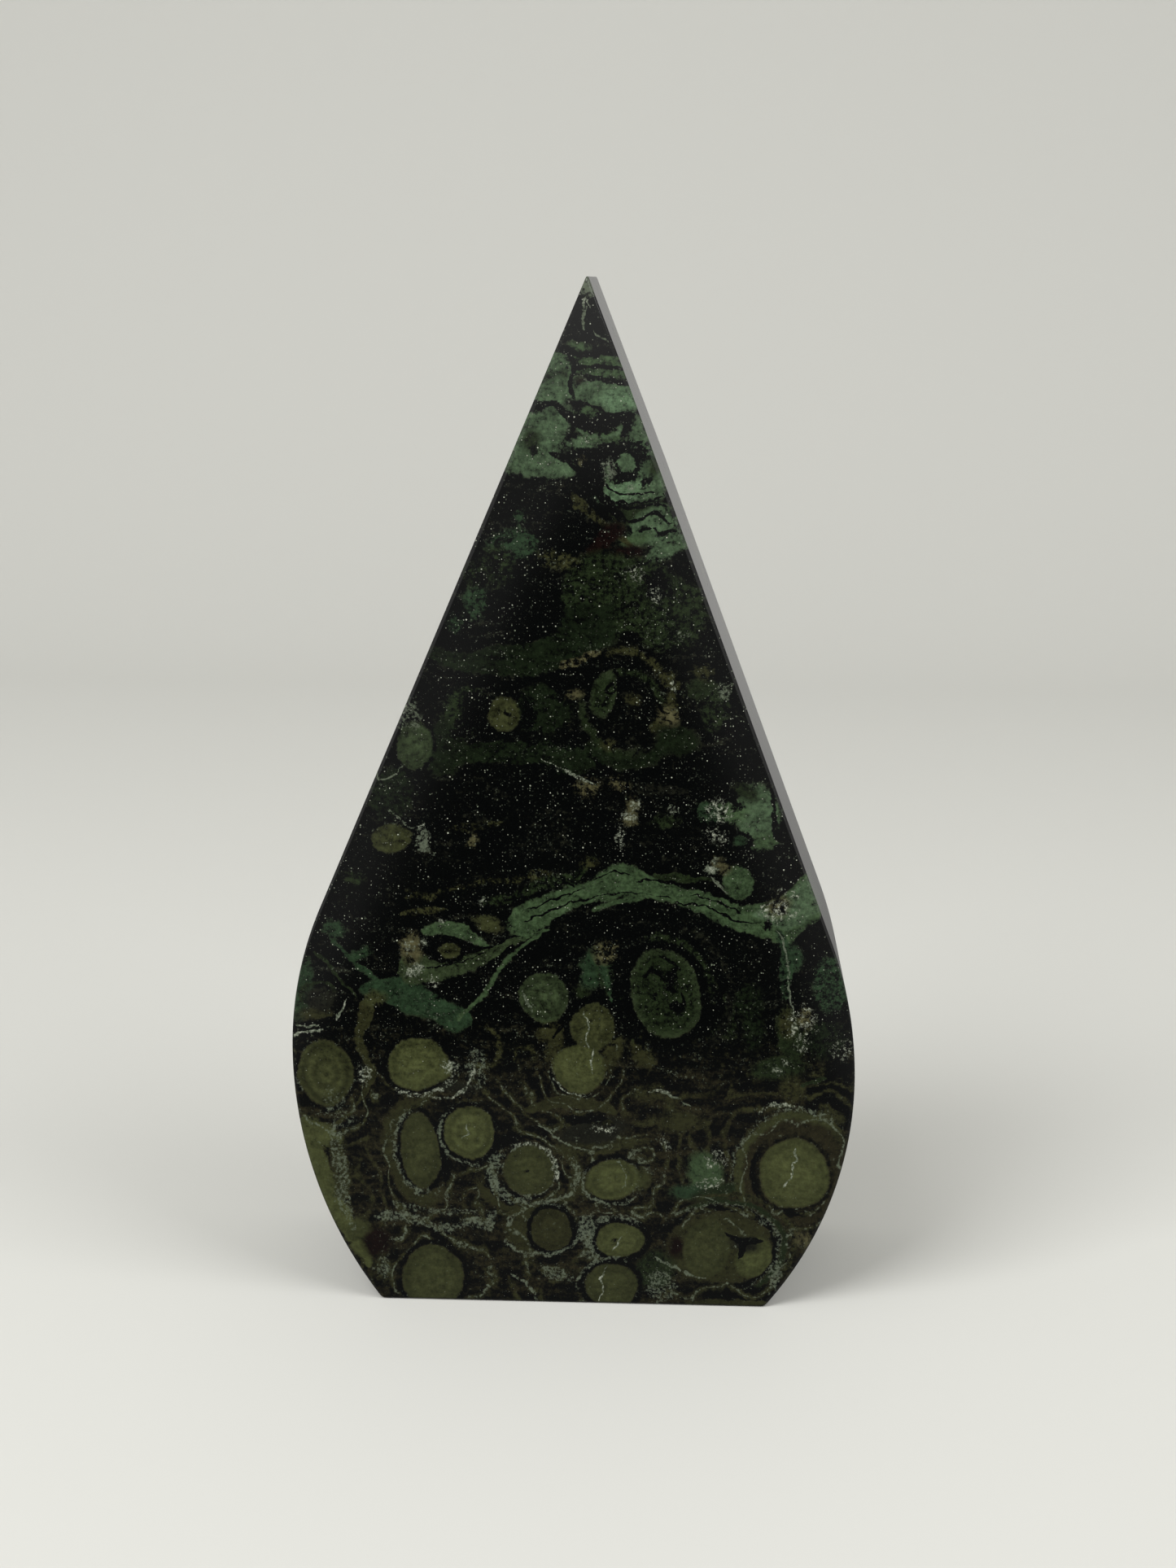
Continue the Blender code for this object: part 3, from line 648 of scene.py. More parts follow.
class Paint:
    """Adds nodes to a material's or a world's tree."""

    def __init__(self, tree):
        self.tree = tree
        tree.nodes.clear()

    def node(self, kind, settings=None, values=None):
        """A node of that kind, with its settings made first and then its sockets' values or links."""
        made = self.tree.nodes.new(kind)
        for name, setting in (settings or {}).items():
            setattr(made, name, setting)
        for name, value in (values or {}).items():
            self.give(made.inputs[name], value)
        return made

    def give(self, socket, value):
        if isinstance(value, Value):
            value = value.socket
        if isinstance(value, bpy.types.NodeSocket):
            self.tree.links.new(value, socket)
        elif socket.type == "RGBA":
            socket.default_value = (*value, 1.0)[:4]
        else:
            socket.default_value = value

    def math(self, operation, *numbers, clamp=False):
        """A Math node. A clamp is a node of its own, since the built-in one costs the renderer a step."""
        made = self.node("ShaderNodeMath", {"operation": operation}, dict(enumerate(numbers)))
        if clamp:
            made = self.node("ShaderNodeClamp", {}, {0: made.outputs[0]})
        return Value(self, made.outputs[0])

    def vector(self, operation, *vectors):
        made = self.node("ShaderNodeVectorMath", {"operation": operation}, dict(enumerate(vectors)))
        return made.outputs[0]

    def length(self, vector):
        made = self.node("ShaderNodeVectorMath", {"operation": "LENGTH"}, {0: vector})
        return Value(self, made.outputs["Value"])

    def dot(self, one, other):
        made = self.node("ShaderNodeVectorMath", {"operation": "DOT_PRODUCT"}, {0: one, 1: other})
        return Value(self, made.outputs["Value"])

    def scaled(self, vector, amount):
        made = self.node("ShaderNodeVectorMath", {"operation": "SCALE"}, {0: vector, "Scale": amount})
        return made.outputs[0]

    def axes(self, vector):
        """The three parts of a vector. Separate XYZ would cost the renderer a step here."""
        return [self.dot(vector, axis) for axis in ((1, 0, 0), (0, 1, 0), (0, 0, 1))]

    def channels(self, colour):
        made = self.node("ShaderNodeSeparateColor", {}, {0: colour})
        return [Value(self, socket) for socket in made.outputs]

    def joined(self, *numbers):
        return self.node("ShaderNodeCombineXYZ", {}, dict(enumerate(numbers))).outputs[0]

    def mix(self, under, over, amount):
        """A number or vector between two others. Colours are vectors until the shader takes them."""
        if isinstance(under, Value):
            made = self.node("ShaderNodeMix", {"data_type": "FLOAT"}, {0: amount, 2: under, 3: over})
            return Value(self, made.outputs[0])
        made = self.node("ShaderNodeMix", {"data_type": "VECTOR"}, {0: amount, 4: under, 5: over})
        return made.outputs[1]

    def noise(self, place, scale, detail=2.0, roughness=0.5, fourth=None, output=0):
        """Soft noise at that many waves a millimetre."""
        settings = {"noise_dimensions": "3D" if fourth is None else "4D"}
        values = {"Vector": place, "Scale": scale, "Detail": detail, "Roughness": roughness}
        if fourth is not None:
            values["W"] = fourth
        return Value(self, self.node("ShaderNodeTexNoise", settings, values).outputs[output])

    def stretched(self, place, scales, detail, roughness):
        """Noise with its own number of waves a millimetre along each axis."""
        return self.noise(self.vector("MULTIPLY", place, scales), 1.0, detail, roughness)

    def cells(self, place, scale, randomness):
        """How far the middle of the nearest cell of a packing is, and three random draws for that cell."""
        values = {"Vector": place, "Scale": scale, "Randomness": randomness}
        made = self.node("ShaderNodeTexVoronoi", {}, values)
        return Value(self, made.outputs["Distance"]), self.channels(made.outputs["Color"])

    def wander(self, place, scale, detail, reach):
        """A shift of up to about that reach each way, which changes slowly from place to place."""
        shifts = self.channels(self.noise(place, scale, detail, output=1))
        return self.joined(*(shift.line(2 * reach, -reach) for shift in shifts))

    def grouped(self, name, parts, build):
        """Builds nodes in a group of their own. Small trees are much quicker to make than a large one.

        Takes named values and vectors into the group, and gives back those that build makes of them.
        """
        tree = bpy.data.node_groups.new(name, "ShaderNodeTree")

        def open_sockets(held, direction):
            for part, value in held.items():
                kind = "NodeSocketFloat" if isinstance(value, Value) else "NodeSocketVector"
                tree.interface.new_socket(part, in_out=direction, socket_type=kind)

        def through(paint, held, sockets):
            return {
                part: Value(paint, sockets[part]) if isinstance(value, Value) else sockets[part]
                for part, value in held.items()
            }

        open_sockets(parts, "INPUT")
        inner = Paint(tree)
        made = build(inner, through(inner, parts, inner.node("NodeGroupInput").outputs))
        open_sockets(made, "OUTPUT")
        inner.node("NodeGroupOutput", {}, made)
        group = self.node("ShaderNodeGroup", {"node_tree": tree}, parts)
        return through(self, made, group.outputs)

    def curve(self, along, points):
        """A smooth curve through (0 to 1, 0 to 1) points."""
        made = self.node("ShaderNodeFloatCurve", {}, {"Value": along})
        curve = made.mapping.curves[0]
        while len(curve.points) < len(points):
            curve.points.new(0.5, 0.5)
        for point, place in zip(curve.points, points):
            point.location = place
            point.handle_type = "AUTO_CLAMPED"
        made.mapping.update()
        return Value(self, made.outputs[0])


# How far bands drift right and down for each millimetre of depth, and down to the back with some to spare
DRIFT_RIGHT = 0.16
DRIFT_DOWN = 0.3
BAND_DROP = 9.0

# Heights between which the pattern is worked out separately, how far outside its outline a shape may show,
# and how far from an orb the mud still flows round it
ZONES = (-10.0, 36.0, 64.0, 130.0)
SHAPE_REACH = 2.0
ORB_REACH = 8.0

# How deep an ellipse reaches into the stone, in longer half axes
SHAPE_DEPTH = 1.2

# How wide the edges of shapes fade, and how narrow a thin ring's and a thin band's may get
EDGE_SOFTNESS = 0.5
RING_SOFTNESS = 0.12
BAND_SOFTNESS = 0.1

# How much of its half axis a ring takes to fade out at its ends, to each side
RING_END = 0.25

# How far a band's curves run past its ends and its bends. Its half width is shifted and divided to lie
# between 0 and 1 on them, and falls below nothing at the ends, which closes them
BAND_MARGIN = 0.7
BAND_BEND = 1.0
WIDTH_SHIFT = 1.0
BAND_WIDEST = 5.0
WIDTH_AT_END = -0.6


def out_of_ellipse(paint, parts, shape):
    """How far out of an ellipse a point is: 0 in its middle and 1 on its edge.

    An ellipse that leans is an upright one sheared along z, so x is added to z before the scaling.
    """
    lean = math.radians(shape.lean)
    wide, tall = 1 / shape.wide**2, 1 / shape.tall**2
    upright = wide * math.sin(lean) ** 2 + tall * math.cos(lean) ** 2
    shear = (tall - wide) * math.sin(lean) * math.cos(lean) / upright
    level = wide * math.cos(lean) ** 2 + tall * math.sin(lean) ** 2 - shear**2 * upright
    across, up = math.sqrt(level), math.sqrt(upright)
    shifts = (-shape.x * across, 0.0, -(shape.z + shear * shape.x) * up)
    if shape.lean:
        shifts = paint.vector("MULTIPLY_ADD", parts["x_in_z"], (0.0, 0.0, shear * up), shifts)
    scales = (across, 1 / max(shape.wide, shape.tall) / SHAPE_DEPTH, up)
    return paint.length(paint.vector("MULTIPLY_ADD", parts["place"], scales, shifts))


class Pattern:
    """One stage of the pattern: how much of the black ground is covered, its colour and pale grains."""

    def __init__(self, paint, parts):
        self.paint = paint
        self.parts = parts
        self.slanted = {"x": parts["slanted_x"], "z": parts["slanted_z"]}
        self.cover = parts["cover"]
        self.tone = parts["tone"]
        self.pale = parts["pale"]
        self.white = parts["white"]

    def painted(self):
        return {"cover": self.cover, "tone": self.tone, "pale": self.pale, "white": self.white}

    def patch_mask(self, patch):
        size = math.sqrt(patch.wide * patch.tall)
        steep = size / EDGE_SOFTNESS / 2
        return out_of_ellipse(self.paint, self.parts, patch).line(-steep, steep + 0.5, clamp=True)

    def ring_mask(self, ring):
        size = math.sqrt(ring.wide * ring.tall)
        off_line = abs(out_of_ellipse(self.paint, self.parts, ring) - 1.0)
        soft = max(RING_SOFTNESS, ring.half_width)
        near = off_line.line(-size / soft, 0.5 + ring.half_width / soft, clamp=True)
        side = math.radians(ring.side)
        across = (math.cos(side) / ring.wide, 0.0, math.sin(side) / ring.tall)
        start = ring.x * across[0] + ring.z * across[2] + ring.reach
        on_side = self.paint.dot(self.parts["place"], across).ramp(start - RING_END, start + RING_END)
        return near * on_side

    def band_mask(self, band):
        """The band's middle and half width follow curves along x or z, whichever it runs further along."""
        xs, zs, halves = zip(*band.line)
        upright = max(zs) - min(zs) > max(xs) - min(xs)
        runs, goes = ("z", "x") if upright else ("x", "z")
        line = sorted(zip(zs, xs, halves) if upright else band.line)
        first, last = line[0][0] - BAND_MARGIN, line[-1][0] + BAND_MARGIN
        low = min(point[1] for point in line) - BAND_BEND
        high = max(point[1] for point in line) + BAND_BEND
        steps = [(point[0] - first) / (last - first) for point in line]
        middles = [(point[1] - low) / (high - low) for point in line]
        widths = [(point[2] + WIDTH_SHIFT) / BAND_WIDEST for point in line]
        closed = (WIDTH_AT_END + WIDTH_SHIFT) / BAND_WIDEST
        along = self.slanted[runs].ramp(first, last)
        centre = self.paint.curve(along, [*zip(steps, middles)]).line(high - low, low)
        off_line = abs(self.slanted[goes] - centre)
        soft = min(EDGE_SOFTNESS, max(BAND_SOFTNESS, min(halves)))
        half = self.paint.curve(along, [(0.0, closed), *zip(steps, widths), (1.0, closed)])
        edge = half.line(BAND_WIDEST / soft, 0.5 - WIDTH_SHIFT / soft)
        return off_line.math("MULTIPLY_ADD", -1 / soft, edge, clamp=True)

    def lay(self, shape):
        """Lays a shape over what is painted already."""
        masks = {Patch: self.patch_mask, Ring: self.ring_mask, Band: self.band_mask}
        mask = masks[type(shape)](shape)
        if shape.tone in PALE:
            self.pale = (mask * shape.cover).most(self.pale)
            if shape.tone is CHALK:
                self.white = self.white.most(mask)
            return
        self.cover = self.paint.mix(self.cover, shape.cover, mask)
        if shape.tone is not NIGHT:
            self.tone = self.paint.mix(self.tone, shape.tone, mask)


def in_zone(shape, zone, reach=SHAPE_REACH):
    """Whether a shape can show between the zone's two heights. Bands drift down with depth."""
    low, high = zone
    if isinstance(shape, Band):
        heights = [point[1] for point in shape.line]
        return max(heights) + reach > low and min(heights) - reach - BAND_DROP < high
    size = max(shape.wide, shape.tall) + reach
    return shape.z + size > low and shape.z - size < high


def lay_chapters(paint, chapters, parts, zone):
    """Lays the chapters of a pattern, each in a node group, over the parts painted so far."""
    for name, chapter in chapters.items():
        shapes = [shape for shape in chapter if in_zone(shape, zone)]
        if not shapes:
            continue

        def build(inner, given):
            pattern = Pattern(inner, given)
            for shape in shapes:
                pattern.lay(shape)
            return pattern.painted()

        parts = {**parts, **paint.grouped(name, parts, build)}
    return parts


# Mud round the orbs. FLOW is the noise that bends its layers: waves a millimetre, detail and roughness.
# MUD_STARTS and LINES_END are distances from an orb, and MUD_LAYERS is radians of layering a millimetre
FLOW = (0.13, 2.0, 0.5)
FLOW_CHANGE = 0.4
MUD_STARTS = (0.3, 0.7)
MUD_LAYERS = 2.3
MUD_MEANDER = 30.0
STRIPE_COVER = (0.3, 0.34)
LINE_CREST = (0.78, 1.0)
LINES_END = (5.5, 3.0)
LINE_COVER = 0.5

# Orbs. Distances are measured outwards from an orb's skin, and ORB_MELT is how far two of them run together
ORB_MELT = 0.15
ORB_EDGE = 0.22
HALO_FADES = (0.9, 0.35)
RIM_MIDDLE = 0.12
RIM_HALF_WIDTH = 0.3125
RIM_GAPS = (0.38, 0.6)
RIM_COVER = 0.7
RING_WAVES = 4.4
RING_WOBBLE = 3.0
RING_SHADE = 0.24
FAINTEST_RINGS = 0.2
CORE_DEPTHS = (-0.1, -2.4)
CORE_MIDDLE = 0.45
CORE_GLOW = 0.34


def lay_orbs(paint, parts, stone, zone):
    """Lays the orbs, with the mud and the pale lines that flow round them."""

    def nearest(inner, given):
        near, tone, traits = given["near"], given["tone"], given["traits"]
        for orb in ORBS:
            if not in_zone(orb, zone, ORB_REACH + SHAPE_REACH):
                continue
            size = math.sqrt(orb.wide * orb.tall)
            skin = out_of_ellipse(inner, given, orb).line(size, -size)
            closer = skin < near
            tone = inner.mix(tone, orb.tone, closer)
            traits = inner.mix(traits, (orb.rings, orb.rim, orb.halo), closer)
            near = near.math("SMOOTH_MIN", skin, ORB_MELT)
        return {"near": near, "tone": tone, "traits": traits}

    found = paint.grouped("orbs", stone["orbs"], nearest)
    near = found["near"].least(ORB_REACH)
    rings, rim, halo = paint.axes(found["traits"])

    # Muddy bands and thin pale lines flow round the orbs
    flow = paint.noise(stone["rough"], *FLOW, fourth=near * FLOW_CHANGE)
    muddy = stone["muddy"] * near.ramp(*MUD_STARTS)
    layers = (near * MUD_LAYERS + flow * MUD_MEANDER).math("SINE")
    stripes = layers.line(*STRIPE_COVER) * muddy
    lines = layers.ramp(*LINE_CREST) * muddy * near.ramp(*LINES_END)
    tone = paint.mix(parts["tone"], BARK, (stripes - parts["cover"]).ramp(0.0, 0.3))
    cover = parts["cover"].most(stripes)
    pale = parts["pale"].most(lines * LINE_COVER)

    # Halo, rim and ringed body of each orb
    halo_mask = near.ramp(*HALO_FADES) * halo
    rim_line = abs(near - RIM_MIDDLE).line(-1 / RIM_HALF_WIDTH, 1.0, clamp=True)
    rim_mask = rim_line * rim * stone["patchy"].ramp(*RIM_GAPS) * RIM_COVER
    body = near.ramp(ORB_EDGE, -ORB_EDGE)
    wave = (near * RING_WAVES + flow * RING_WOBBLE).math("SINE")
    ringed = (wave * (rings + FAINTEST_RINGS)).line(RING_SHADE, 1.0)
    shade = ringed + (near.ramp(*CORE_DEPTHS) - CORE_MIDDLE) * CORE_GLOW
    pale = paint.mix(pale, 0.0, halo_mask).most(rim_mask)
    return parts | {
        "cover": paint.mix(paint.mix(cover, 0.0, halo_mask), 1.0, body),
        "tone": paint.mix(tone, paint.scaled(found["tone"], shade), body),
        "pale": paint.mix(pale, rim_mask, body),
    }


# How strongly cover and paleness weigh against the grains, the sum at which half of a colour shows, and how
# steeply it comes in from there
COVER_WEIGHT = 2.9
COVER_HALF = 1.45
COVER_STEEPNESS = 1.1
PALE_WEIGHT = 3.0
PALE_HALF = 1.5
PALE_STEEPNESS = 0.9
PALE_OPACITY = 0.85

# Where ash turns to chalk white, by the whiteness laid there and by the chips, and where the patchy noise
# thins the pale grains out, from how much to how much
WHITE_SHOWS = (0.35, 0.9)
WHITE_CHIPS = (0.5, 0.66)
PALE_GAPS = (0.2, 0.6)
PALE_GAP_DEPTH = (0.4, 0.6)

# The sawn base: how much soot dulls its colour, and its roughness
SAWN_SOOT = 0.5
SAWN_ROUGHNESS = 0.55


def zone_shader(paint, stone, look, zone):
    """The polished stone between two heights."""
    parts = lay_chapters(paint, GROUND, stone["ground"], zone)
    parts = lay_orbs(paint, parts, stone, zone)
    parts = lay_chapters(paint, MARKS, parts, zone)

    # Grains break up every edge and mottle every colour
    chips = stone["chips"]
    shown = (parts["cover"] * COVER_WEIGHT + stone["roughened"]).step(COVER_HALF, COVER_STEEPNESS)
    colour = paint.mix(NIGHT, paint.scaled(parts["tone"], stone["mottle"]), shown)
    chalk = paint.mix(ASH, CHALK, parts["white"].ramp(*WHITE_SHOWS) * chips.ramp(*WHITE_CHIPS))
    patchy_pale = parts["pale"] * stone["patchy"].ramp(*PALE_GAPS).line(*PALE_GAP_DEPTH)
    pale_shown = (patchy_pale * PALE_WEIGHT + stone["chipped"]).step(PALE_HALF, PALE_STEEPNESS)
    colour = paint.mix(colour, chalk, pale_shown * PALE_OPACITY)
    # Painted highlights: the glints of the sparkling grains are painted into the colour
    colour = paint.mix(colour, stone["painted_glint_colour"], stone["painted_glint_spots"])

    colour = paint.mix(colour, SOOT, stone["sawn"] * SAWN_SOOT)
    roughness = paint.mix(pale_shown.line(look.grain_dullness, look.polish), SAWN_ROUGHNESS, stone["sawn"])
    values = {
        "Base Color": colour,
        "Roughness": roughness,
        "Normal": stone["bump"],
        "IOR": look.refraction,
        "Specular IOR Level": look.gloss,
    }
    return paint.node("ShaderNodeBsdfPrincipled", {}, values).outputs[0]


# Wandering of the outlines: waves a millimetre, detail, and reach in millimetres
SLOW_WANDER = (0.19, 1.0, 0.55)
RAGGED_WANDER = (0.85, 3.0, 0.5)
ORB_RAGGEDNESS = 0.35

# Depths between which the orbs and bands of the inside come in, heights between which the black ground
# turns into brown going down, partly mud and partly a painted warm reflection, and heights between which
# the saw's marks end
INNER_DEPTHS = (3.5, 8.0)
MUD_AND_REFLECTION_HEIGHTS = (38.0, 26.0)
SAWN_HEIGHTS = (0.12, 0.02)

# Stretched noises: waves a millimetre along x, y and z, then detail and roughness. A vein is where its
# noise is near the middle, and fades away from there as fast as VEIN_STEEPNESS says
BEDDING = ((0.16, 0.3, 0.75), 3.0, 0.55)
VEINS = ((0.1, 0.14, 0.2), 2.0, 0.5)
CLOUDS = ((0.4, 0.5, 0.75), 3.0, 0.6)
STREAKS = ((0.5, 0.5, 1.6), 3.0, 0.65)
VEIN_STEEPNESS = 11.0

# How much the black ground's own bedding, veins and mud (partly a painted warm reflection) cover it, and
# how pale its grains get
BEDDING_COVER = 0.46
VEIN_COVER = 0.6
MUD_AND_REFLECTION_COVER = 0.26
BEDDING_PALENESS = 0.3
INNER_WHITENESS = 0.5
INNER_MUD = 0.7

# Even noises: waves a millimetre, then detail and roughness
GRAIN = (1.9, 4.0, 0.75)
CHIPS = (2.6, 3.0, 0.75)
PATCHY = (0.35, 1.0, 0.5)

# How strongly grains, clouds and streaks roughen the edges and mottle the colours, and what they come to on
# average. MOTTLE_LEVEL is how bright a colour then stays
ROUGHENED = (6.4, 2.2, 1.0)
ROUGHENED_MEAN = 4.8
MOTTLE = (3.6, 2.4, 1.2)
MOTTLE_MEAN = 3.6
MOTTLE_LEVEL = 0.96
CHIP_WEIGHT = 6.5

# Cells a millimetre, each with one orb of the inside or one sparkling grain. Sizes are in cells, and
# KEPT_BACK is how many millimetres are added to the distance from an orb at the front face, to hide it
ORB_CELLS = 0.118
ORB_CELL_WIDTH = 8.0
ORB_SIZES = (0.14, 0.3)
KEPT_BACK = 40.0
SPARK_CELLS = 3.5
SPARK_SIZE = 0.35
SPARK_GLOW = 1.3

# The ripple that the polish leaves: waves a metre, strength, and depth in metres
RIPPLES = 60.0
RIPPLE_STRENGTH = 0.03
RIPPLE_DEPTH = 0.001


def stone_textures(paint):
    """What every zone of the stone shares: its places, its black ground and all of its textures.

    Textures are read at spot or rough, and never at place: each texture's input costs the renderer a
    step, and all the shapes have to be ready at the same step.
    """
    front = CAD_LOW.y * MILLIMETRES
    coordinates = paint.node("ShaderNodeTexCoord").outputs["Object"]
    spot = paint.vector("MULTIPLY_ADD", coordinates, (MILLIMETRES,) * 3, (0.0, -front, 0.0))

    # Mild wandering keeps every outline natural
    rough = paint.vector("ADD", spot, paint.wander(spot, *SLOW_WANDER))
    ragged = paint.wander(rough, *RAGGED_WANDER)
    place = paint.vector("ADD", rough, ragged)
    rounder = paint.vector("ADD", rough, paint.scaled(ragged, ORB_RAGGEDNESS))
    right, depth, up = paint.axes(place)
    inner = depth.ramp(*INNER_DEPTHS)
    slanted_up = up + depth * DRIFT_DOWN
    mud_and_reflection_below = slanted_up.ramp(*MUD_AND_REFLECTION_HEIGHTS)

    # Black ground with dim bedding that runs across the stone, and brown lower down: partly mud, partly a
    # painted warm reflection
    bedding = paint.stretched(rough, *BEDDING)
    veins = paint.stretched(rough, *VEINS)
    green_bands = abs(veins - 0.5).line(-VEIN_STEEPNESS, 1.0, clamp=True) * inner
    ground = {
        "place": place,
        "x_in_z": paint.joined(0.0, 0.0, right),
        "slanted_x": right + depth * DRIFT_RIGHT,
        "slanted_z": slanted_up,
        "cover": bedding.ramp(0.4, 0.72) * BEDDING_COVER + green_bands * VEIN_COVER + mud_and_reflection_below * MUD_AND_REFLECTION_COVER,
        "tone": paint.mix(paint.mix(SOOT, MUD_AND_WARM_REFLECTION, mud_and_reflection_below), BOTTLE, green_bands.ramp(0.1, 0.5)),
        "pale": bedding.ramp(0.5, 0.8) * BEDDING_PALENESS,
        "white": inner * INNER_WHITENESS,
    }

    # Inside the stone there is an orb in most cells of a packing
    distance, draw = paint.cells(rough, ORB_CELLS, 0.85)
    size = draw[0].line(*ORB_SIZES) * draw[1].ramp(0.2, 0.24)
    orbs = {
        "place": rounder,
        "x_in_z": paint.joined(0.0, 0.0, paint.dot(rounder, (1, 0, 0))),
        "near": (distance - size) * ORB_CELL_WIDTH + (1.0 - inner) * KEPT_BACK,
        "tone": paint.mix(KHAKI, BOTTLE, draw[2].ramp(0.35, 0.75)),
        "traits": paint.joined(*draw),
    }

    # Grains and streaks. All but the pale chips are half as strong in the mud and painted warm reflection
    # lower down, where the stone is smoother
    grain = paint.noise(rough, *GRAIN)
    clouds = paint.stretched(rough, *CLOUDS)
    streaks = paint.stretched(rough, *STREAKS)
    chips = paint.noise(rough, *CHIPS)
    patchy = paint.noise(rough, *PATCHY)
    lively = mud_and_reflection_below.line(-0.5, 1.0)
    roughened, mottle = [
        grain * grains + clouds * cloudiness + streaks * streakiness
        for grains, cloudiness, streakiness in (ROUGHENED, MOTTLE)
    ]

    # Sparkling grains, in swarms: partly pale grains, partly painted glints of random brightness
    from_spark, lit = paint.cells(spot, SPARK_CELLS, 1.0)
    spark_size = lit[0].ramp(0.3, 1.0) * SPARK_SIZE * (patchy.ramp(0.3, 0.6).line(0.5, 0.55) * lively)
    painted_glint_spots = (spark_size - from_spark).ramp(0.0, 0.08)

    ripple = paint.noise(coordinates, RIPPLES, 1.0)
    ripples = {"Strength": RIPPLE_STRENGTH, "Distance": RIPPLE_DEPTH, "Height": ripple}
    bump = paint.node("ShaderNodeBump", {}, ripples)
    height = paint.dot(spot, (0, 0, 1))
    return {
        "rough": rough,
        "ground": ground,
        "orbs": orbs,
        "height": height,
        "muddy": mud_and_reflection_below.most(inner * INNER_MUD),
        "sawn": height.ramp(*SAWN_HEIGHTS),
        "roughened": (roughened - ROUGHENED_MEAN) * lively,
        "mottle": (mottle - MOTTLE_MEAN) * lively + MOTTLE_LEVEL,
        "chips": chips,
        "chipped": (chips - 0.5) * CHIP_WEIGHT,
        "patchy": patchy,
        "painted_glint_colour": paint.scaled(paint.mix(ASH, CHALK, lit[1]), lit[2] * lit[2] * SPARK_GLOW + 0.04),
        "painted_glint_spots": painted_glint_spots,
        "bump": bump.outputs[0],
    }


def jasper(look):
    """The polished stone, in zones one above the other, so that only one zone's shapes are worked out."""
    material = bpy.data.materials.new("kambaba_jasper")
    material.use_nodes = True
    paint = Paint(material.node_tree)
    stone = stone_textures(paint)
    shader = None
    for low, high in zip(ZONES, ZONES[1:]):
        above = zone_shader(paint, stone, look, (low, high))
        if shader is None:
            shader = above
            continue
        over = stone["height"].math("GREATER_THAN", low)
        shader = paint.node("ShaderNodeMixShader", {}, {0: over, 1: shader, 2: above}).outputs[0]
    paint.node("ShaderNodeOutputMaterial", {}, {"Surface": shader})
    return material


# Stone geometry


class SlabSizes(bpy.types.PropertyGroup):
    """Sizes that the slab is ground to."""

    height: bpy.props.FloatProperty(
        name="Height", description="Where the two flanks would meet", default=0.120, unit="LENGTH"
    )
    thickness: bpy.props.FloatProperty(
        name="Thickness",
        description="From the front face to the back face",
        default=CAD_HIGH.y - CAD_LOW.y,
        unit="LENGTH",
    )
    half_width: bpy.props.FloatProperty(
        name="Half width",
        description="From the middle to the widest point of the belly",
        default=CAD_HIGH.x,
        unit="LENGTH",
    )
    point_offset: bpy.props.FloatProperty(
        name="Point offset",
        description="How far right of the middle the point lies",
        default=0.0014,
        unit="LENGTH",
    )
    leans: bpy.props.FloatVectorProperty(
        name="Leans",
        description="Left and right flank's lean from upright",
        size=2,
        subtype="EULER",
        default=(math.radians(23.1), math.radians(20.7)),
    )
    belly_heights: bpy.props.FloatVectorProperty(
        name="Belly heights",
        description="How high the left and right belly are widest",
        size=2,
        unit="LENGTH",
        default=(0.0308, 0.0279),
    )
    feet: bpy.props.FloatVectorProperty(
        name="Feet",
        description="From the middle to the left and right end of the base",
        size=2,
        unit="LENGTH",
        default=(0.0227, 0.0229),
    )
    rounding: bpy.props.FloatProperty(
        name="Eased edge", description="Width of the eased edges", default=0.00045, unit="LENGTH"
    )


class StoneLook(bpy.types.PropertyGroup):
    """Finish of the polished stone."""

    polish: bpy.props.FloatProperty(
        name="Polish", description="Roughness of the polished faces", default=0.06, min=0, max=1
    )
    grain_dullness: bpy.props.FloatProperty(
        name="Grain dullness",
        description="How much rougher the pale grains are",
        default=0.16,
        min=0,
        max=1,
    )
    refraction: bpy.props.FloatProperty(
        name="Refraction", description="Index of refraction of the jasper", default=1.54, min=1, max=2
    )
    gloss: bpy.props.FloatProperty(
        name="Gloss", description="Strength of the mirror image in the faces", default=0.35, min=0, max=1
    )


class Studio(bpy.types.PropertyGroup):
    """Floor, lights and camera."""

    floor: bpy.props.FloatVectorProperty(
        name="Floor", description="Colour of the floor", subtype="COLOR", default=(0.60, 0.60, 0.57)
    )
    key: bpy.props.FloatProperty(
        name="Key light", description="Power of the large light", default=7.2, unit="POWER"
    )
    fill: bpy.props.FloatProperty(
        name="Fill light", description="Power of the second light", default=3.2, unit="POWER"
    )
    sky: bpy.props.FloatProperty(
        name="Sky", description="Strength of the soft light from all around", default=0.6, min=0
    )


# The shallow facet's lower edge runs from one height on the front face to the other on the back face
FACET_FRONT_HEIGHT = 0.1105
FACET_BACK_HEIGHT = 0.0975
FACET_TURN = math.radians(0.9)

# Round walls are ground in planes of this turn. Edges sharper than the other are eased in a few steps, to
# the round profile of a bevel
GRIND_STEP = math.radians(1.2)
SHARP_EDGE = math.radians(30)
EDGE_STEPS = 5
ROUND = 0.5


def deselect_all():
    for thing in bpy.context.selected_objects:
        thing.select_set(False)


def sawn_blank(sizes):
    """A block sawn to the slab's thickness, open in edit mode with nothing left to do but grind it."""
    deselect_all()
    bpy.ops.mesh.primitive_cube_add(size=1.0, enter_editmode=True)
    blank = bpy.context.active_object
    blank.name = blank.data.name = "flame_slab"
    spare = 1.2
    wide = 2 * sizes.half_width * spare
    tall = sizes.height * spare
    bpy.ops.mesh.select_all(action="SELECT")
    bpy.ops.transform.resize(value=(wide, sizes.thickness, tall))
    bpy.ops.transform.translate(value=(0.0, 0.0, tall / 2 + sizes.height * (1 - spare) / 2))
    return blank


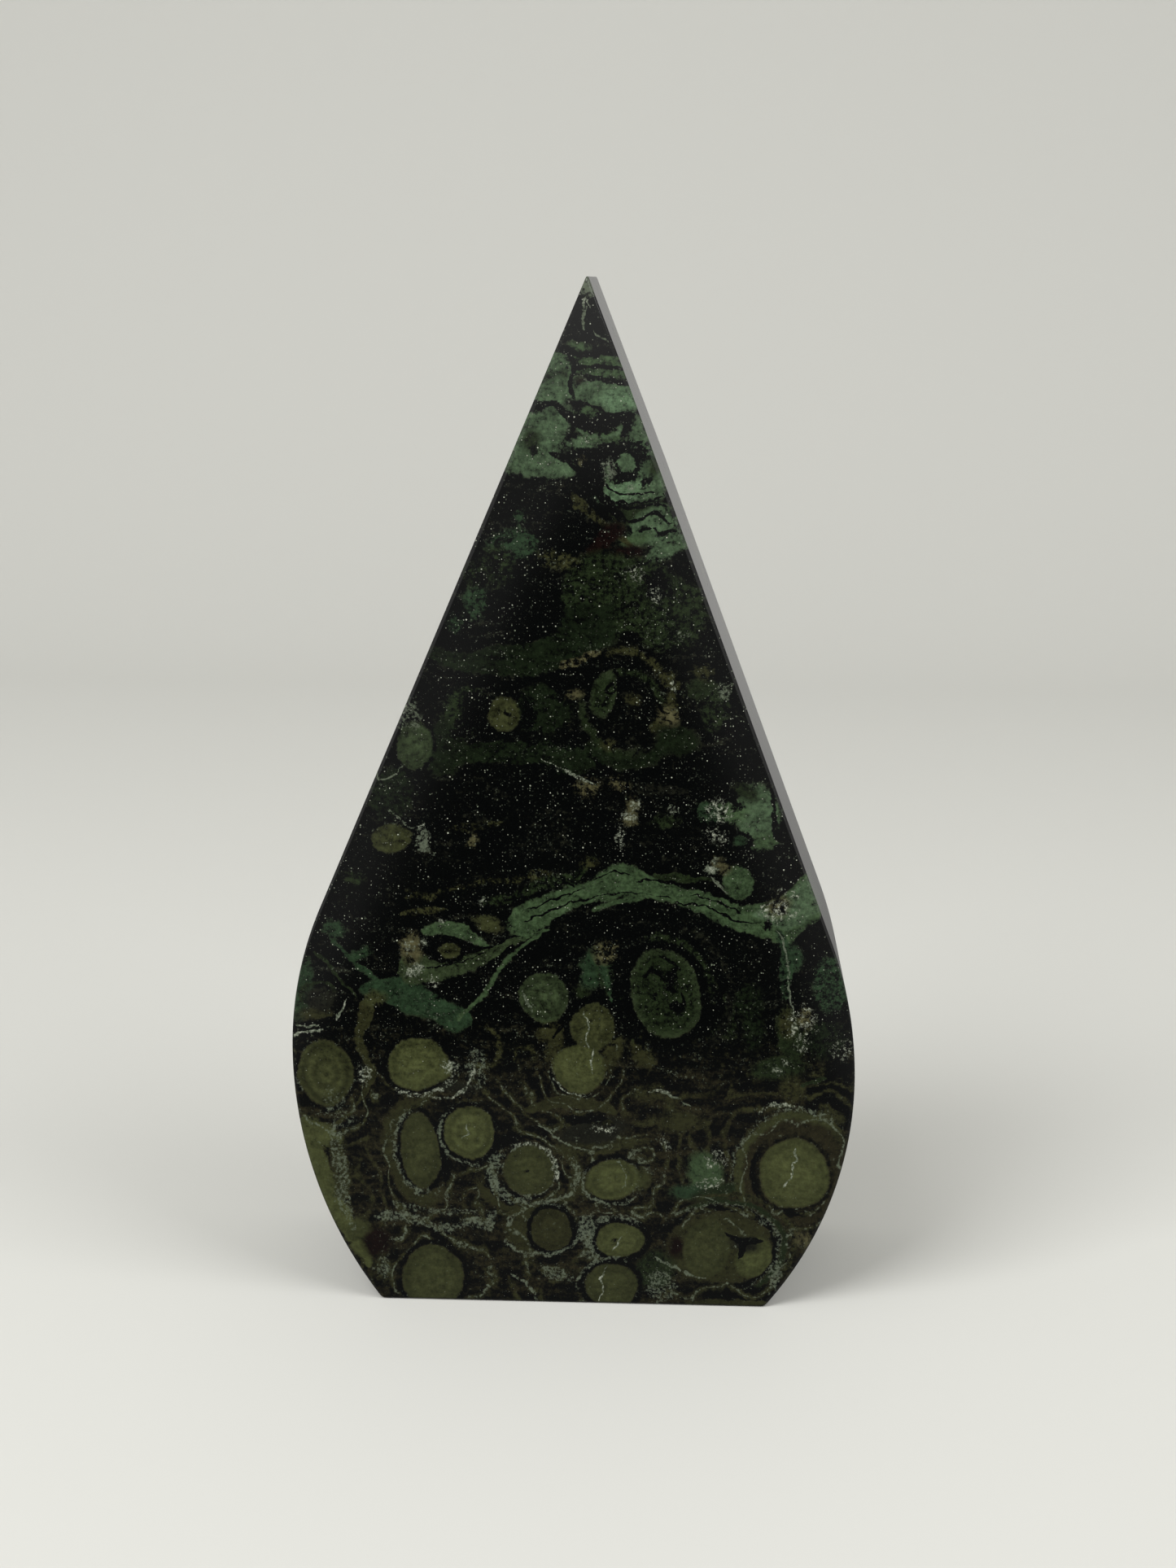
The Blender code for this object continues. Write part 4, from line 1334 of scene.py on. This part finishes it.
def grind(place, normal):
    """Grinds away what stands in front of a plane."""
    bpy.ops.mesh.select_all(action="SELECT")
    bpy.ops.mesh.bisect(plane_co=place, plane_no=normal, use_fill=True, clear_outer=True, threshold=1e-7)


def arc_planes(outward, centre_out, centre_height, radius, start, end):
    """Planes that touch a round stretch of wall, from after one angle above the outward direction on."""
    steps = max(1, round(abs(end - start) / GRIND_STEP))
    for i in range(1, steps + 1):
        angle = start + (end - start) * i / steps
        out, up = math.cos(angle), math.sin(angle)
        place = (outward * (centre_out + radius * out), 0.0, centre_height + radius * up)
        yield place, (outward * out, 0.0, up)


def wall_planes(sizes, side):
    """Planes of one wall, flank first. Side 0 is the left wall and 1 the right."""
    outward = (-1, 1)[side]
    lean, belly, foot = sizes.leans[side], sizes.belly_heights[side], sizes.feet[side]
    spare = math.tan(lean) * (sizes.height - belly) - (sizes.half_width - outward * sizes.point_offset)
    upper = spare / (1 / math.cos(lean) - 1)
    inset = sizes.half_width - foot
    lower = (belly**2 + inset**2) / (2 * inset)
    foot_angle = math.asin(belly / lower)
    point = (sizes.point_offset, 0.0, sizes.height)
    yield point, (outward * math.cos(lean), 0.0, math.sin(lean))
    yield from arc_planes(outward, sizes.half_width - upper, belly, upper, lean, 0)
    yield from arc_planes(outward, sizes.half_width - lower, belly, lower, 0, -foot_angle)


def facet_plane(sizes):
    """Plane of the shallow facet on the right wall near the point."""
    lean = sizes.leans[1]
    half = sizes.thickness / 2
    front, back = [
        Vector((sizes.point_offset + (sizes.height - z) * math.tan(lean), y, z))
        for y, z in ((-half, FACET_FRONT_HEIGHT), (half, FACET_BACK_HEIGHT))
    ]
    wall = Vector((math.cos(lean), 0, math.sin(lean)))
    towards_point = wall.cross((back - front).normalized())
    return front, wall * math.cos(FACET_TURN) + towards_point * math.sin(FACET_TURN)


def ease_edges(slab, width):
    """Eases every sharp edge of the slab that is open in edit mode."""
    mesh = bmesh.from_edit_mesh(slab.data)
    for face in mesh.faces:
        face.select_set(False)
    for edge in mesh.edges:
        edge.select_set(edge.calc_face_angle() > SHARP_EDGE)
    mesh.select_flush_mode()
    bmesh.update_edit_mesh(slab.data)
    bpy.ops.mesh.bevel(offset=width, segments=EDGE_STEPS, profile=ROUND, affect="EDGES")


class GrindSlab(bpy.types.Operator):
    """Grinds the flame-shaped slab from a sawn blank and polishes it"""

    bl_idname = "jasper.grind_slab"
    bl_label = "Grind the slab"

    def execute(self, context):
        sizes = context.scene.jasper_slab
        slab = sawn_blank(sizes)
        grind((0.0, 0.0, 0.0), (0.0, 0.0, -1.0))
        for side in (0, 1):
            for place, normal in wall_planes(sizes, side):
                grind(place, normal)
        grind(*facet_plane(sizes))
        bpy.ops.mesh.select_mode(type="EDGE")
        ease_edges(slab, sizes.rounding)
        bpy.ops.object.mode_set(mode="OBJECT")
        bpy.ops.object.transform_apply(location=True, rotation=True, scale=True)
        bpy.ops.object.shade_smooth_by_angle(angle=SHARP_EDGE)
        flats = slab.modifiers.new("flat_faces_stay_flat", "WEIGHTED_NORMAL")
        flats.keep_sharp = True
        bpy.ops.object.modifier_apply(modifier=flats.name)
        slab.data.materials.append(jasper(context.scene.jasper_look))
        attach(slab, "root")
        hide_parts("stone")
        return {"FINISHED"}


# Studio

PALE_ROOM = (1.0, 0.99, 0.95, 1.0)
PICTURE = (1445, 1927)
SENSOR = 36.0
FOCAL_PIXELS = 2900.0
CAMERA_PLACE = (0.01305, -0.27346, 0.12165)
CAMERA_TURN = math.radians(2.5)
CAMERA_DIP = math.radians(12.6)
CAMERA_ROLL = math.radians(0.26)

FLOOR_FRONT = -0.9
FLOOR_SIDE = 0.9
WALL = 0.7
WALL_TOP = 1.2
SWEEP_RADIUS = 0.3
SWEEP_STEPS = 32
TOUCHING = 0.001

KEY_PLACE = (-0.45, -0.5, 0.75)
FILL_PLACE = (0.55, -0.35, 0.6)
LIT_SPOT = (0.0, 0.0, 0.05)
SOFTBOX_SIZE = 0.5

# What the polished faces mirror. Edges are along x (right), y (back) or z (up) of a unit direction, from
# dark to bright, and a lean is how far a card's edge moves sideways for each unit up
SKY_EDGE = (-0.3, 0.7)
TABLE_EDGE = (-0.31, -0.35)
TABLE_GLOW = 0.15
LEFT_CARD_LEAN = 0.467
LEFT_CARD_EDGE = (-0.003, -0.012)
RIGHT_CARD_LEAN = 0.399
RIGHT_CARD_EDGE = (-0.078, -0.06)
CARD_GLOW = 0.26
HORIZON_EDGE = (-0.11, -0.02)
HORIZON_GLOW = 0.85
DARK_ROOM_GLOW = 0.04
BACK_ROOM_EDGE = (-0.34, -0.12)
BACK_ROOM_GLOW = (0.22, 0.12)
FRONT_TO_BACK = (-0.1, 0.1)


def studio_camera():
    """The camera, looking at the stone as the photograph does."""
    camera = bpy.data.cameras.new("camera")
    camera.sensor_width = SENSOR
    camera.lens = FOCAL_PIXELS * SENSOR / max(PICTURE)
    camera.clip_start = 0.01
    seen = bpy.data.objects.new("camera", camera)
    turn = Matrix.Rotation(CAMERA_TURN, 4, "Z") @ Matrix.Rotation(math.pi / 2 - CAMERA_DIP, 4, "X")
    turn = turn @ Matrix.Rotation(CAMERA_ROLL, 4, "Z")
    seen.matrix_world = Matrix.Translation(CAMERA_PLACE) @ turn
    bpy.context.scene.collection.objects.link(seen)
    bpy.context.scene.camera = seen


def floor_finish(colour):
    """Matte pale paper."""
    material = bpy.data.materials.new("pale_paper")
    material.use_nodes = True
    paint = Paint(material.node_tree)
    values = {"Base Color": tuple(colour), "Roughness": 0.8, "Specular IOR Level": 0.2}
    shader = paint.node("ShaderNodeBsdfPrincipled", {}, values)
    paint.node("ShaderNodeOutputMaterial", {}, {"Surface": shader.outputs[0]})
    return material


def paper_edge(mesh, chosen):
    """Selects the edges of an open mesh both of whose ends are chosen."""
    for edge in mesh.edges:
        edge.select_set(all(chosen(vertex.co) for vertex in edge.verts))
    mesh.select_flush_mode()


def sweep(name, finish):
    """Floor that curves up into a wall behind the stone."""
    deselect_all()
    bpy.ops.mesh.primitive_plane_add(size=1.0, enter_editmode=True)
    paper = bpy.context.active_object
    paper.name = paper.data.name = name
    bpy.ops.mesh.select_mode(type="EDGE")
    bpy.ops.mesh.select_all(action="SELECT")
    bpy.ops.transform.resize(value=(2 * FLOOR_SIDE, WALL - FLOOR_FRONT, 1.0))
    bpy.ops.transform.translate(value=(0.0, (WALL + FLOOR_FRONT) / 2, 0.0))
    mesh = bmesh.from_edit_mesh(paper.data)
    paper_edge(mesh, lambda place: place.y > WALL - TOUCHING)
    bmesh.update_edit_mesh(paper.data)
    bpy.ops.mesh.extrude_region_move(TRANSFORM_OT_translate={"value": (0.0, 0.0, WALL_TOP)})
    mesh = bmesh.from_edit_mesh(paper.data)
    paper_edge(mesh, lambda place: place.y > WALL - TOUCHING and place.z < TOUCHING)
    bmesh.update_edit_mesh(paper.data)
    bpy.ops.mesh.bevel(offset=SWEEP_RADIUS, segments=SWEEP_STEPS, profile=ROUND, affect="EDGES")
    bpy.ops.object.mode_set(mode="OBJECT")
    bpy.ops.object.transform_apply(location=True, rotation=True, scale=True)
    bpy.ops.object.shade_smooth()
    paper.data.materials.append(finish)
    paper.visible_glossy = False


def softbox(name, place, power):
    """A square area light that faces the stone."""
    light = bpy.data.lights.new(name, "AREA")
    light.size = SOFTBOX_SIZE
    light.energy = power
    lamp = bpy.data.objects.new(name, light)
    lamp.location = place
    lamp.rotation_euler = (Vector(LIT_SPOT) - Vector(place)).to_track_quat("-Z", "Y").to_euler()
    lamp.visible_camera = False
    bpy.context.scene.collection.objects.link(lamp)


def studio_world(strength):
    """Soft pale light from above, and what the polished faces mirror instead of the floor.

    In front the faces see a dark room with a pale table low down, two grey cards and a pale band along
    the horizon, which give them their soft haze. Behind they see a pale room.
    """
    world = bpy.data.worlds.new("studio")
    bpy.context.scene.world = world
    world.use_nodes = True
    paint = Paint(world.node_tree)
    rays = paint.node("ShaderNodeLightPath")
    x, y, z = paint.axes(paint.node("ShaderNodeTexCoord").outputs["Generated"])
    soft = z.ramp(*SKY_EDGE).line(0.6, 0.4) * strength
    table = z.ramp(*TABLE_EDGE) * TABLE_GLOW
    left_card = (x - z * LEFT_CARD_LEAN).ramp(*LEFT_CARD_EDGE) * CARD_GLOW
    right_card = (x + z * RIGHT_CARD_LEAN).ramp(*RIGHT_CARD_EDGE) * CARD_GLOW
    horizon = z.ramp(*HORIZON_EDGE) * HORIZON_GLOW
    room = table.most(left_card.most(right_card)).most(horizon).most(DARK_ROOM_GLOW)
    back_room = z.ramp(*BACK_ROOM_EDGE).line(*BACK_ROOM_GLOW)
    mirrored = paint.mix(room, back_room, y.ramp(*FRONT_TO_BACK))
    seen = paint.mix(soft, mirrored, Value(paint, rays.outputs["Is Glossy Ray"]))
    background = paint.node("ShaderNodeBackground", {}, {"Color": PALE_ROOM, "Strength": seen})
    paint.node("ShaderNodeOutputWorld", {}, {"Surface": background.outputs[0]})


class SetStage(bpy.types.Operator):
    """Sets the floor, the lights, the surroundings and the camera"""

    bl_idname = "jasper.set_stage"
    bl_label = "Set the stage"

    def execute(self, context):
        studio = context.scene.jasper_studio
        finish = floor_finish(studio.floor)
        sweep("floor", finish)
        softbox("key", KEY_PLACE, studio.key)
        softbox("fill", FILL_PLACE, studio.fill)
        studio_world(studio.sky)
        studio_camera()
        context.scene.view_settings.view_transform = "Standard"
        return {"FINISHED"}


class JasperPanel(bpy.types.Panel):
    """Lists the steps and their settings"""

    bl_idname = "VIEW3D_PT_jasper"
    bl_label = "Jasper flame"
    bl_space_type = "VIEW_3D"
    bl_region_type = "UI"
    bl_category = "Jasper"

    def draw(self, context):
        scene = context.scene
        steps = (
            (GrindSlab, (scene.jasper_slab, scene.jasper_look)),
            (SetStage, (scene.jasper_studio,)),
        )
        for step, groups in steps:
            box = self.layout.box()
            box.operator(step.bl_idname)
            for group in groups:
                for name in group.__annotations__:
                    box.prop(group, name)


CLASSES = (SlabSizes, StoneLook, Studio, GrindSlab, SetStage, JasperPanel)


def register():
    for cls in CLASSES:
        bpy.utils.register_class(cls)
    bpy.types.Scene.jasper_slab = bpy.props.PointerProperty(type=SlabSizes)
    bpy.types.Scene.jasper_look = bpy.props.PointerProperty(type=StoneLook)
    bpy.types.Scene.jasper_studio = bpy.props.PointerProperty(type=Studio)


def unregister():
    del bpy.types.Scene.jasper_studio
    del bpy.types.Scene.jasper_look
    del bpy.types.Scene.jasper_slab
    for cls in reversed(CLASSES):
        bpy.utils.unregister_class(cls)


def main():
    register()
    bpy.ops.jasper.grind_slab()
    bpy.ops.jasper.set_stage()


if __name__ == "__main__":
    main()
